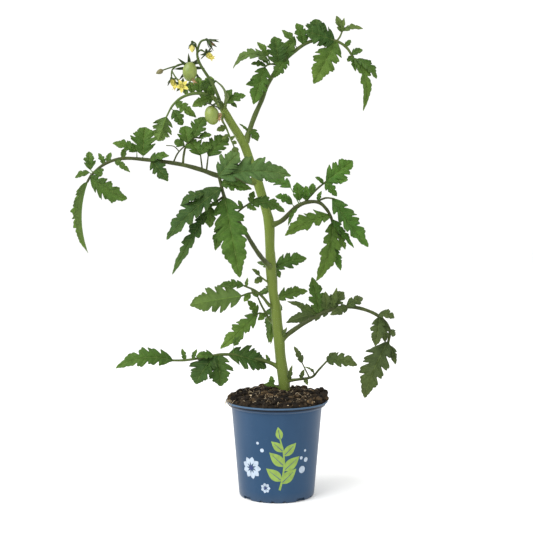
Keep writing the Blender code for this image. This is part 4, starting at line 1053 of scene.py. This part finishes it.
def makeTruss():
    runs = []
    for number, (rootRadius, endRadius, route) in enumerate(truss["stalks"]):
        points = curveThrough(route, 6)
        shares = [k / (len(points) - 1) for k in range(len(points))]
        runs.append((points, [between(rootRadius, endRadius, t) * knuckled(number, t) for t in shares]))
    pieces = [tint(drawRuns("trussStalks", runs, 3), truss["tone"])]
    sepals = []
    for centre, axis, count, length, spreadAngle in truss["calyxes"]:
        centre = Vector(centre)
        pieces.append(tint(ballAt("receptacle", centre, truss["receptacle"]), truss["sepalTone"]))
        for k in range(count):
            way, face = rayOf(axis, k, count, spreadAngle)
            bow = truss["sepalBow"] * (1 + 0.6 * math.sin(3 * k + length))
            tone = scaled(truss["sepalTone"], 1 + 0.15 * math.sin(2.3 * k))
            sepals.append(slimBlade(centre + way, centre + way * length, truss["sepalWidth"], face, bow, tone,
                                    truss["sepalFold"], truss["sepalPeak"], k))
    pieces.append(thicken(joinAll("sepals", sepals), truss["thickness"]))
    budRadii = easeThrough(truss["brownBudRadii"], 4)
    bud = growRod("brownBud", curveThrough(truss["brownBud"], 4), budRadii, 20, ribbed(5, 0.08))
    pieces.append(tint(bud, truss["brownBudTone"]))
    surface = skinSurface("trussSkin")
    for piece in pieces:
        dress(piece, surface)
    settle(smooth(joinAll("flowerTruss", pieces), 50), ["truss"])
    print("truss grown")
    return runs


# flowers: centre of the calyx, the way that it opens, petals, their length, width and spread
flowers = {
    "flower_star": ((-107, -34, 474), (0.1, -1.0, -0.2), 5, 7.8, 4.4, 72),
    "flower_side": ((-119.5, -27, 483), (0.4, -0.2, -0.9), 5, 14, 7.0, 26),
    "flower_closed": ((-79.5, -26, 511), (0.7, -0.35, -0.62), 5, 10.8, 7.0, 28),
}
withered = {
    "dry_petals_top": ((-80, -23, 527), (0.8, -0.2, -0.55), 2, 14, 2.6, 12),
    "dry_petals_upper": ((-97.3, -25.2, 484), (0.55, -0.2, -0.8), 3, 10, 3.4, 26),
    "dry_petals_lower": ((-64.5, -24, 445), (-0.1, -0.3, -1.0), 4, 11, 3.6, 26),
}
petals = {
    "yellow": (0.62, 0.57, 0.115),
    "yellowShade": (0.42, 0.36, 0.045),
    "dry": (0.34, 0.22, 0.09),
    "dryShade": (0.22, 0.12, 0.05),
    "anther": (0.20, 0.165, 0.022),
    "greenHeart": (0.12, 0.16, 0.03),
    "cloudScale": 260.0,
    "thickness": 0.3,
    "bow": 0.12,
    "cup": (8, 50),  # fold of a fresh petal, and how much more a withered one has at most
    "shrink": 0.3,
    "openSpread": 60,  # a flower spread wider than this is open
    "open": (0.8, 0.72),  # where an open flower's petals start, and where they are widest
    "closed": (-2.6, 0.56),
    "antherLength": 6.0,
    "antherRadii": [1.2, 1.35, 1.45, 1.45, 1.4, 1.25, 1.0, 0.7, 0.3],
    "bud": ((-96, -24, 524), (0.0, -0.2, -1.0)),
    "budLength": 10.0,
    "budRadii": [1.6, 3.1, 2.7, 0.6],
    "budTone": (0.66, 0.62, 0.22),
}


def petalSurface(name, dark, roughness):
    made, shader, place = startMaterial(name, roughness, Sheen_Weight=0.15)
    own = addNode("SeparateXYZ", {0: carried(shader, "leafPlace", "Vector")})
    ribs = remap(compute("ABSOLUTE", own["X"]), 0.1, 0.6, 0.35, 0.0)
    foot = remap(own["Y"], 0.0, 0.4, 0.5, 0.0)
    shade = blend(compute("MAXIMUM", ribs, foot), ownTone(shader), dark)
    cloud = speckle(place, petals["cloudScale"])
    shade = blend(remap(cloud, 0.35, 0.75, 0.0, 0.45), shade, dark)
    colourWith(shader, shade, cloud, roughness - 0.1, roughness + 0.1)
    bump(shader, cloud, 0.25, 0.8)
    return made


def heartOf(centre, axis):
    way = Vector(axis).normalized()
    return Vector(centre) + way * (truss["receptacle"] + truss["gap"] + truss["heart"]), way


def makeFlower(name, plan, tone, surface, crumple=0.0):
    centre, axis, count, length, width, spreadAngle = plan
    heart, way = heartOf(centre, axis)
    wideOpen = spreadAngle > petals["openSpread"]
    start, peak = petals["open"] if wideOpen else petals["closed"]
    least, more = petals["cup"]
    sheets = []
    for k in range(count):
        ray, face = rayOf(axis, k, count, spreadAngle, 0.5)
        bow = petals["bow"] * (1 - 1.6 * crumple * draw.random())
        foot = heart + ray * start
        tip = foot + ray * length * (1 - crumple * petals["shrink"] * draw.random())
        cup = least + more * crumple * draw.random()
        sheets.append(slimBlade(foot, tip, width, face, bow, tone, cup, peak, k + crumple))
    flower = thicken(joinAll(name, sheets), petals["thickness"])
    if wideOpen:
        radii = petals["antherRadii"]
        foot = heart - way * truss["heart"]
        span = petals["antherLength"] + truss["heart"]
        ends = [foot + way * (span * k / (len(radii) - 1)) for k in range(len(radii))]
        middle = tint(growRod("anthers", ends, radii, 24, ribbed(6, 0.09)), petals["anther"])
    else:
        middle = tint(ballAt("heart", heart, truss["heart"]), petals["greenHeart"])
    flower = dress(joinAll(camel(name), [flower, middle]), surface)
    settle(smooth(flower, 60), [name])


def makeFlowers():
    yellowSkin = petalSurface("petalYellow", petals["yellowShade"], 0.55)
    drySkin = petalSurface("petalDry", petals["dryShade"], 0.75)
    for name, plan in flowers.items():
        makeFlower(name, plan, petals["yellow"], yellowSkin)
    for name, plan in withered.items():
        makeFlower(name, plan, petals["dry"], drySkin, 0.7)
    heart, way = heartOf(*petals["bud"])
    line = curveThrough([heart + way * (petals["budLength"] * k / 3 - truss["heart"]) for k in range(4)], 6)
    bud = growRod("budYellow", line, easeThrough(petals["budRadii"], 6), 30, ribbed(5, 0.07, 3))
    dress(tint(bud, petals["budTone"]), yellowSkin)
    settle(smooth(bud, 60), ["bud_yellow"])
    print("flowers opened")


# the two green fruits: centre and tilt from the upright
fruits = {
    "fruit_upper": ((-99, -22.5, 491), 4.0),
    "fruit_lower": ((-74, -21, 442), -12.0),
}
fruitSkin = {
    "radius": 8.3,
    "halfHeight": 11.0,
    "lobes": 0.012,
    "light": (0.200, 0.252, 0.044),
    "shade": (0.112, 0.166, 0.026),
    "spot": (0.33, 0.38, 0.14),
    "cloudScale": 110.0,
    "spotScale": 900.0,
    "grainScale": 700.0,
    "scar": 0.55,
    "scarTone": (0.55, 0.40, 0.25),
}


def fruitSurface():
    made, shader, place = startMaterial("fruitGreen", 0.38, Coat_Weight=0.12, Coat_Roughness=0.3)
    cloud = speckle(place, fruitSkin["cloudScale"])
    spots = addNode("TexVoronoi", {"Vector": place, "Scale": fruitSkin["spotScale"]})["Distance"]
    shade = blend(remap(cloud, 0.35, 0.7, 0.0, 0.8), fruitSkin["light"], fruitSkin["shade"])
    shade = blend(remap(spots, 0.05, 0.22, 0.35, 0.0), shade, fruitSkin["spot"])
    shade = blend(1.0, shade, ownTone(shader), "MULTIPLY")
    colourWith(shader, shade, cloud, 0.34, 0.48)
    bump(shader, speckle(place, fruitSkin["grainScale"], 2.0), 0.08, 0.5)
    return made


def fruitTone(place):
    # the share of its colour that a place on a round fruit keeps: darker at the shoulder, with streaks
    height = place.z / fruitSkin["radius"]
    turn = math.atan2(place.y, place.x)
    shoulder = 1.0 - 0.28 * max(0.0, height - 0.35) + 0.12 * max(0.0, -height - 0.4)
    tone = shoulder * (1 + 0.07 * math.sin(11 * turn + 2 * height) * max(0.0, height))
    return tone, tone, tone * 0.97


def makeFruits():
    surface = fruitSurface()
    stretch = fruitSkin["halfHeight"] / fruitSkin["radius"]
    for name, (centre, tilt) in fruits.items():
        ball = tint(ballAt(camel(name), (0, 0, 0), fruitSkin["radius"], 1.0, 48, 32), fruitTone)
        for vert in ball.data.vertices:
            height = vert.co.z / (fruitSkin["radius"] * mm)
            turn = math.atan2(vert.co.y, vert.co.x)
            drawnIn = 1 - fruitSkin["lobes"] * (1 + math.cos(5 * turn)) * abs(height)
            vert.co = Vector((vert.co.x * drawnIn, vert.co.y * drawnIn, vert.co.z * stretch))
        place = Matrix.Translation(Vector(centre) * mm) @ Matrix.Rotation(math.radians(tilt), 4, "Y")
        ball.data.transform(place)
        tip = Vector(centre) + place.to_3x3() @ Vector((0, 0, -fruitSkin["halfHeight"] * 0.985))
        scar = tint(ballAt("scar", tip, fruitSkin["scar"], 0.8, 10, 6), fruitSkin["scarTone"])
        fruit = dress(joinAll(camel(name), [ball, scar]), surface)
        settle(smooth(fruit, 60), [name])
    print("fruits set")


# the nursery pot, turned from a profile, with notches round its foot
pot = {
    "rim": 60.0,
    "height": 112.0,
    "base": 44.0,
    "neck": 53.0,
    "lip": 6.0,
    "wall": 1.3,
    "floor": 2.0,
    # from the inner wall over the rim and down to the neck: how far within the rim, and how far below the top
    "lipOutline": [(3.7, 2.6), (2.2, 1.0), (1.3, 0.2), (0.9, 0), (0.3, 0.3), (0, 0.9), (0.1, 1.6), (0.6, 2.1),
                   (1.9, 2.4), (2.1, 3.2), (2.9, 5.1), (4.6, 6.5), (6.6, 7.2), (7.1, 8.2)],
    # under the side: how far within the foot's radius, and height
    "footOutline": [(-0.1, 2.6), (0.3, 1.3), (0.9, 0.4), (2.0, 0), (5.0, 0), (6.0, 0.5)],
    "steps": 144,
    "footTurn": 38.5,
    "footNotch": (12.0, 4.0),  # width and height
    "drainNotch": (4.0, 2.5),
    "drainSpacing": 18.0,
    "notchDepth": 7.0,
    "softness": 0.8,
    # its blue, the blue of its clouds and streaks, the painted highlight on the top of the rim, the painted
    # shadow under the lip, and what dust and scuffs turn it to
    "blue": (0.016, 0.049, 0.105),
    "cloudTone": (0.021, 0.058, 0.121),
    "streakTone": (0.032, 0.072, 0.139),
    "rimHighlightTone": (0.070, 0.128, 0.205),
    "lipShadowTone": (0.002, 0.004, 0.010),
    "dustTone": (0.07, 0.085, 0.105),
    "scuffTone": (0.11, 0.15, 0.22),
    "cloudScale": 18.0,
    "streaks": (45, 45, 6),
    "scuffs": (120, 120, 900),
    "grainScale": 1800.0,
    "relief": 0.06,
}


def turnProfile(name, profile, steps):
    corners = [(radius * mm, 0, z * mm) for radius, z in profile]
    item = newMesh(name, corners, [(k, k + 1) for k in range(len(corners) - 1)])
    modify(item, "SCREW", steps=steps, render_steps=steps, use_merge_vertices=True, merge_threshold=0.00001)
    return closeUp(item)


def wallRadius(z):
    # outer radius of the pot's side at a height
    rise = min(max(z / (pot["height"] - pot["lip"]), 0.0), 1.0)
    return between(pot["base"], pot["neck"], rise)


def potSurface():
    made, shader, place = startMaterial("potBlue", 0.48, Specular_IOR_Level=0.14, Sheen_Weight=0.2,
                                        Sheen_Roughness=0.42)
    height = addNode("SeparateXYZ", {0: place})["Z"]

    def belowTop(first, last, least=0.0, most=1.0):
        # a share that changes between two depths under the top of the rim
        return remap(height, (pot["height"] - first) * mm, (pot["height"] - last) * mm, least, most)

    cloud = speckle(place, pot["cloudScale"], 4.0)
    flow = speckle(stretched(place, pot["streaks"]), 1.0)
    scuffs = speckle(stretched(place, pot["scuffs"]), 1.0, 2.0)
    # painted shadow: a dark line all round just under the lip
    lipShadow = compute("MULTIPLY", belowTop(5.6, 3.8, 0.0, 0.96), belowTop(2.3, 1.7, 1.0, 0.0))
    shade = blend(remap(cloud, 0.3, 0.7), pot["blue"], pot["cloudTone"])
    shade = blend(remap(flow, 0.45, 0.75, 0.0, 0.3), shade, pot["streakTone"])
    # painted highlight: the rim is lighter within about 2 mm of its top
    shade = blend(belowTop(2.2, 0.8, 0.0, 0.75), shade, pot["rimHighlightTone"])
    # painted shadow: the line under the lip turned nearly black
    shade = blend(lipShadow, shade, pot["lipShadowTone"])
    shade = blend(remap(height, 0.012, 0.0, 0.0, 0.3), shade, pot["dustTone"])
    shade = blend(remap(scuffs, 0.68, 0.8, 0.0, 0.25), shade, pot["scuffTone"])
    colourWith(shader, shade, cloud, 0.42, 0.56)
    grain = speckle(place, pot["grainScale"], 2.0)
    bump(shader, compute("ADD", grain, flow), pot["relief"], 0.6)
    return made


def notchBlock(heading, width, height):
    turn = Matrix.Rotation(math.radians(heading), 4, "Z")
    block = addShape(shapes.primitive_cube_add, size=mm)
    block.data.transform(turn @ Matrix.Translation((0, -pot["base"] * mm, 0))
                         @ Matrix.Diagonal((width, pot["notchDepth"], 2 * height, 1)))
    return modify(block, "BEVEL", width=pot["softness"] * mm, segments=3)


def makePot():
    floor, wall = pot["floor"], pot["wall"]
    profile = [(0, floor), (wallRadius(2) - wall - 1.5, floor), (wallRadius(3) - wall, floor + 1.2),
               (pot["neck"] - wall, pot["height"] - pot["lip"])]
    profile += [(pot["rim"] - within, pot["height"] - below) for within, below in pot["lipOutline"]]
    profile += [(wallRadius(z), z) for z in (60, 4.5)]
    profile += [(pot["base"] - within, z) for within, z in pot["footOutline"]]
    body = turnProfile("nurseryPot", profile + [(0, 0.5)], pot["steps"])
    notches = []
    for quarter in range(4):
        heading = pot["footTurn"] + 90 * quarter
        notches.append(notchBlock(heading, *pot["footNotch"]))
        for k in (-1, 0, 1):
            notches.append(notchBlock(heading - 45 + pot["drainSpacing"] * k, *pot["drainNotch"]))
    cutters = joinAll("notches", notches)
    modify(body, "BOOLEAN", object=cutters, operation="DIFFERENCE")
    discard(cutters)
    settle(smooth(dress(body, potSurface()), 35), ["pot"])
    print("pot turned")


# a plain printed sprig, two pale flowers and dots on the side of the pot
sprig = {
    "thickness": 0.1,
    # each ink's colour, and how far its middle stands off the pot
    "inks": {"lime": ((0.215, 0.335, 0.050), 0.06), "navy": ((0.012, 0.030, 0.150), 0.13),
             "pale": ((0.40, 0.48, 0.58), 0.06)},
    "worn": 0.72,
    "stemRoute": [(3, 16), (6, 28), (8, 44), (7, 60), (3, 76)],
    "stemHalf": (1.3, 0.7),
    # leaves: x, z, heading and length
    "leaves": [(5, 24, 42, 24), (5.5, 27, 142, 23), (8, 39, 40, 24), (8, 44, 136, 23), (7.5, 56, 46, 20),
               (7, 61, 138, 18), (3.4, 75, 100, 15)],
    "leafHalf": 0.26,
    "ribHalf": (0.42, 0.22),
    # dots: x, z and radius
    "dots": [(31, 38, 4.2), (36, 49, 2.8), (29, 52, 1.9), (34, 60, 1.5), (-17, 62, 2.2), (-22, 70, 1.6)],
    # pale flowers with a navy eye: x, z, number, length and width of the petals
    "blooms": [(-32, 40, 9, 13, 6.4), (-14, 18, 7, 6, 3.6)],
    "eye": 0.2,
}


def wrapOnPot(item, lift):
    # lays a flat drawing in x and z round the pot's side
    for vert in item.data.vertices:
        along, z = vert.co.x / mm, vert.co.z / mm
        radius = wallRadius(z) + lift
        turn = along / wallRadius(45)
        vert.co = Vector((math.sin(turn) * radius, -math.cos(turn) * radius, z)) * mm
    return item


def flatStroke(points, halfWidths):
    # a ribbon along a flat route of x and z
    last = len(points) - 1
    item = addShape(shapes.primitive_grid_add, x_subdivisions=last, y_subdivisions=4, size=2)
    for vert in item.data.vertices:
        k = round((vert.co.x + 1) / 2 * last)
        ahead = (points[min(k + 1, last)] - points[max(k - 1, 0)]).normalized()
        spot = points[k] + Vector((-ahead.y, ahead.x)) * (halfWidths[k] * vert.co.y)
        vert.co = Vector((spot.x, 0, spot.y)) * mm
    return item


def petalStroke(foot, way, length, half, steps, peak, least):
    # a pointed oval from its foot along its way, with the points of its middle line and its half widths
    spots = [foot + way * (length * k / steps) for k in range(steps + 1)]
    widths = [max(least, half * math.sin(math.pi * (k / steps) ** peak)) for k in range(steps + 1)]
    return flatStroke(spots, widths), spots


def roundStroke(x, z, radius, steps):
    spots = [Vector((x - radius * math.cos(math.pi * k / steps), z)) for k in range(steps + 1)]
    return flatStroke(spots, [max(0.05, radius * math.sin(math.pi * k / steps)) for k in range(steps + 1)])


def headed(degrees):
    return Vector((math.cos(math.radians(degrees)), math.sin(math.radians(degrees))))


def makePrint():
    strokes = {name: [] for name in sprig["inks"]}
    route = [knot.to_2d() for knot in curveThrough([(x, z, 0) for x, z in sprig["stemRoute"]], 6)]
    last = len(route) - 1
    halves = [between(*sprig["stemHalf"], k / last) for k in range(last + 1)]
    strokes["lime"].append(flatStroke(route, halves))
    for x, z, heading, length in sprig["leaves"]:
        half = sprig["leafHalf"] * length
        leaf, spots = petalStroke(Vector((x, z)), headed(heading), length, half, 14, 0.8, 0.15)
        ribs = [between(*sprig["ribHalf"], k / 10) for k in range(11)]
        strokes["lime"].append(leaf)
        strokes["navy"].append(flatStroke(spots[1:-3], ribs))
    strokes["pale"] += [roundStroke(*dot, 16) for dot in sprig["dots"]]
    for x, z, count, length, width in sprig["blooms"]:
        for k in range(count):
            way = headed(360 * k / count)
            foot = Vector((x, z)) + way * (0.24 * length)
            petal, spots = petalStroke(foot, way, 0.76 * length, width / 2, 10, 1.3, 0.1)
            strokes["pale"].append(petal)
        strokes["navy"].append(roundStroke(x, z, sprig["eye"] * length, 12))
    for name, (tone, lift) in sprig["inks"].items():
        ink, shader, place = startMaterial("ink" + name.capitalize(), 0.45)
        worn = remap(speckle(place, 220.0, 4.0), 0.4, 0.75)
        colourWith(shader, blend(worn, tone, scaled(tone, sprig["worn"])))
        item = wrapOnPot(joinAll("print" + name.capitalize(), strokes[name]), lift)
        thicken(closeUp(item), sprig["thickness"])
        settle(smooth(dress(item, ink), 40))
    print("print laid on the pot")


# potting soil: a rough heap, with crumbs, chips of wood and fine roots
soil = {
    "radius": 56.6,
    "edge": 113.8,
    "heap": 8.0,
    "rough": 3.0,
    "fine": 1.5,
    "clump": (51, -6, 5.5, 90),  # a clump at the rim: x, y, height and the square of its reach
    "rings": 64,
    "steps": 200,
    "crumbs": 1710,
    "crumbSizes": (0.6, 4.2),
    "crumbShape": (1.2, 0.66, 0.56),
    "crumbTones": ((0.8, 0.8, 0.8), (2.1, 2.0, 1.8), (0.35, 0.35, 0.35)),  # multiply the soil's own
    "crumbScale": 420.0,
    "cloudScale": 240.0,
    "dark": (0.005, 0.004, 0.003),
    "light": (0.048, 0.033, 0.018),
    "fleck": (0.15, 0.105, 0.055),
    # big clods at the rim: x, y, z and radius
    "clods": [
        (53, -14, 119, 4.6), (57, -10, 116, 3.6), (50, -20, 118, 4.2), (55, -4, 121, 4.4),
        (48, -27, 117, 3.6), (52, -8, 125, 3.4), (49, 4, 121, 4.0), (-54, -16, 116, 3.4),
        (-50, -24, 117, 3.8), (-14, -56, 115, 3.2), (-55, -6, 116, 3.2), (20, -54, 115, 3.0),
        (-32, -45, 116, 3.4), (38, -42, 117, 3.6), (4, -55, 115, 2.6),
    ],
}
fibres = {
    "tones": ((0.36, 0.26, 0.14), (0.66, 0.55, 0.38)),
    "chips": 150,
    "chipSizes": (0.6, 2.3),
    "chipShape": (1.7, 0.6, 0.4),
    "chipSoftness": 0.18,
    "roots": 210,
    "rootLength": (5, 16),
    "rootRadius": 0.22,
    "rootSteps": 7,
    "wander": 0.7,
    "margin": 1.5,
    "lift": (0.4, 1.6),
    # fibres hanging over the rim: turn in degrees, how far out and how far down they end
    "hanging": [(197, 63, 104), (201, 62, 100), (204, 62.5, 95), (207, 62, 106), (193, 62, 108),
                (211, 62, 109), (199, 63, 98)],
    "hangingRadius": 0.26,
}


def soilHeight(x, y):
    reach = math.hypot(x, y) / soil["radius"]
    spot = Vector((x, y, 0))
    heap = soil["heap"] * max(0.0, 1 - reach ** 4)
    rough = soil["rough"] * (noise.noise(spot * 0.09) + 0.6 * noise.noise(spot * 0.21))
    clumpX, clumpY, clumpHeight, clumpReach = soil["clump"]
    clump = clumpHeight * math.exp(-((x - clumpX) ** 2 + (y - clumpY) ** 2) / clumpReach)
    fine = noise.noise(spot * 0.42) + 0.6 * noise.noise(spot * 0.9) + 0.3 * noise.noise(spot * 2.1)
    return soil["edge"] + heap + clump + (rough + soil["fine"] * fine) * (1.0 if reach < 0.98 else 0.5)


def soilSurface():
    made, shader, place = startMaterial("soilBrown", 0.95, Specular_IOR_Level=0.2)
    crumbs = addNode("TexVoronoi", {"Vector": place, "Scale": soil["crumbScale"]})
    cloud = speckle(place, soil["cloudScale"], 6.0, 0.7)
    cells = addNode("SeparateXYZ", {0: crumbs["Color"]})["X"]
    shade = blend(remap(cloud, 0.35, 0.7), soil["dark"], soil["light"])
    shade = blend(remap(cells, 0.95, 0.99, 0.0, 0.6), shade, soil["fleck"])
    shade = blend(1.0, shade, ownTone(shader), "MULTIPLY")
    colourWith(shader, shade, cloud, 0.85, 1.0)
    bump(shader, compute("ADD", crumbs["Distance"], cloud), 0.8)
    return made


def crumbModel(seed):
    item = addShape(shapes.primitive_ico_sphere_add, subdivisions=2, radius=1.0)
    for vert in item.data.vertices:
        vert.co *= 1 + 0.45 * noise.noise(vert.co * 1.3 + Vector((seed * 7.1, 0, 0)))
    return item


def soilSpots(count, sizes, shape, rise):
    # places strewn over the soil; rise is how much of its size a thing stands over it
    places = []
    for k in range(count):
        reach = soil["radius"] * 1.01 * math.sqrt(draw.random())
        turn = draw.uniform(0, 2 * math.pi)
        x, y = reach * math.cos(turn), reach * math.sin(turn)
        size = between(*sizes, draw.random() ** 3)
        spot = Vector((x, y, soilHeight(x, y) + size * rise))
        spin = Matrix.Rotation(draw.uniform(0, 6.28), 4, "Z")
        roll = Matrix.Rotation(draw.uniform(0, 3.14), 4, "X")
        places.append(Matrix.Translation(spot) @ spin @ roll @ Matrix.Diagonal((*scaled(shape, size), 1)))
    return places


def soilBed():
    profile = [(soil["radius"] * k / soil["rings"], soil["edge"]) for k in range(soil["rings"] + 1)]
    profile += [
        (soil["radius"] + 0.5, pot["height"] + 0.4),
        (soil["radius"] - 0.6, pot["height"] - 1.8),
        (pot["neck"] - 1.9, pot["height"] - pot["lip"]),
        (pot["base"] - 1.9, 3.6),
        (pot["base"] - 4.5, 2.3),
        (0, 2.3),
    ]
    bed = turnProfile("soilBed", profile, soil["steps"])
    for vert in bed.data.vertices:
        if vert.co.z > (soil["edge"] - 0.1) * mm:
            vert.co.z = soilHeight(vert.co.x / mm, vert.co.y / mm) * mm
    return tint(bed, (1.0, 1.0, 1.0))


def rootRun(k):
    # a fine root that wanders over the soil, or no points where it would leave it
    turn = draw.uniform(0, 2 * math.pi)
    reach = soil["radius"] * math.sqrt(draw.random()) * 0.98
    heading = draw.uniform(0, 2 * math.pi)
    stride = draw.uniform(*fibres["rootLength"]) / fibres["rootSteps"]
    x, y = reach * math.cos(turn), reach * math.sin(turn)
    least, more = fibres["lift"]
    points = []
    for step in range(fibres["rootSteps"] + 1):
        heading += draw.uniform(-fibres["wander"], fibres["wander"])
        if math.hypot(x, y) > soil["radius"] - fibres["margin"]:
            break
        lift = least + more * max(0.0, math.sin(step * 0.9 + k))
        points.append(Vector((x, y, soilHeight(x, y) + lift)))
        x += math.cos(heading) * stride
        y += math.sin(heading) * stride
    return curveThrough(points, 3) if len(points) > 3 else []


def hangingRun(degrees, reach, end):
    out = headed(degrees).to_3d()
    top, rim = pot["height"], pot["rim"]
    over = [(soil["radius"] - 5, top + 6.5), (rim - 1, top + 2.6), (reach - 0.4, top - 1), (reach, end)]
    return curveThrough([out * far + Vector((0, 0, height)) for far, height in over], 6)


def thinning(line, radius, loss):
    return line, [radius * (1 - loss * k / len(line)) for k in range(len(line))]


def makeSoil():
    parts = [soilBed()]
    for seed, tone in enumerate(soil["crumbTones"]):
        model = crumbModel(seed)
        places = soilSpots(soil["crumbs"] // 3, soil["crumbSizes"], soil["crumbShape"], 0.2)
        for x, y, z, radius in soil["clods"][seed::3]:
            turn = Matrix.Rotation(x, 4, "Z")
            places.append(Matrix.Translation((x, y, z)) @ turn @ Matrix.Scale(radius, 4))
        parts.append(tint(spread("crumbs", model, places), tone))
        discard(model)
    whole = dress(joinAll("pottingSoil", parts), soilSurface())
    settle(smooth(whole, 50), ["soil"])
    print("soil heaped")


def makeFibres():
    pale = mottled("fibrePale", 0.7, 150.0, *fibres["tones"])
    block = addShape(shapes.primitive_cube_add, size=1.0)
    chip = modify(block, "BEVEL", width=fibres["chipSoftness"], segments=2)
    places = soilSpots(fibres["chips"], fibres["chipSizes"], fibres["chipShape"], 0.5)
    settle(smooth(dress(spread("woodChips", chip, places), pale)))
    discard(chip)
    lines = [rootRun(k) for k in range(fibres["roots"])]
    runs = [thinning(line, fibres["rootRadius"], 0.6) for line in lines if line]
    runs += [thinning(hangingRun(*end), fibres["hangingRadius"], 0.5) for end in fibres["hanging"]]
    settle(smooth(dress(drawRuns("fineRoots", runs, 0), pale), 60))
    print("chips and roots strewn")


makeStudio()
stemLine = makeStem()
leafRuns = makeLeaves()
trussRuns = makeTruss()
makeFlowers()
makeFruits()
makeHairs(stemLine, leafRuns + trussRuns)
makePot()
makePrint()
makeSoil()
makeFibres()
deselectAll()
print("all pieces in place")
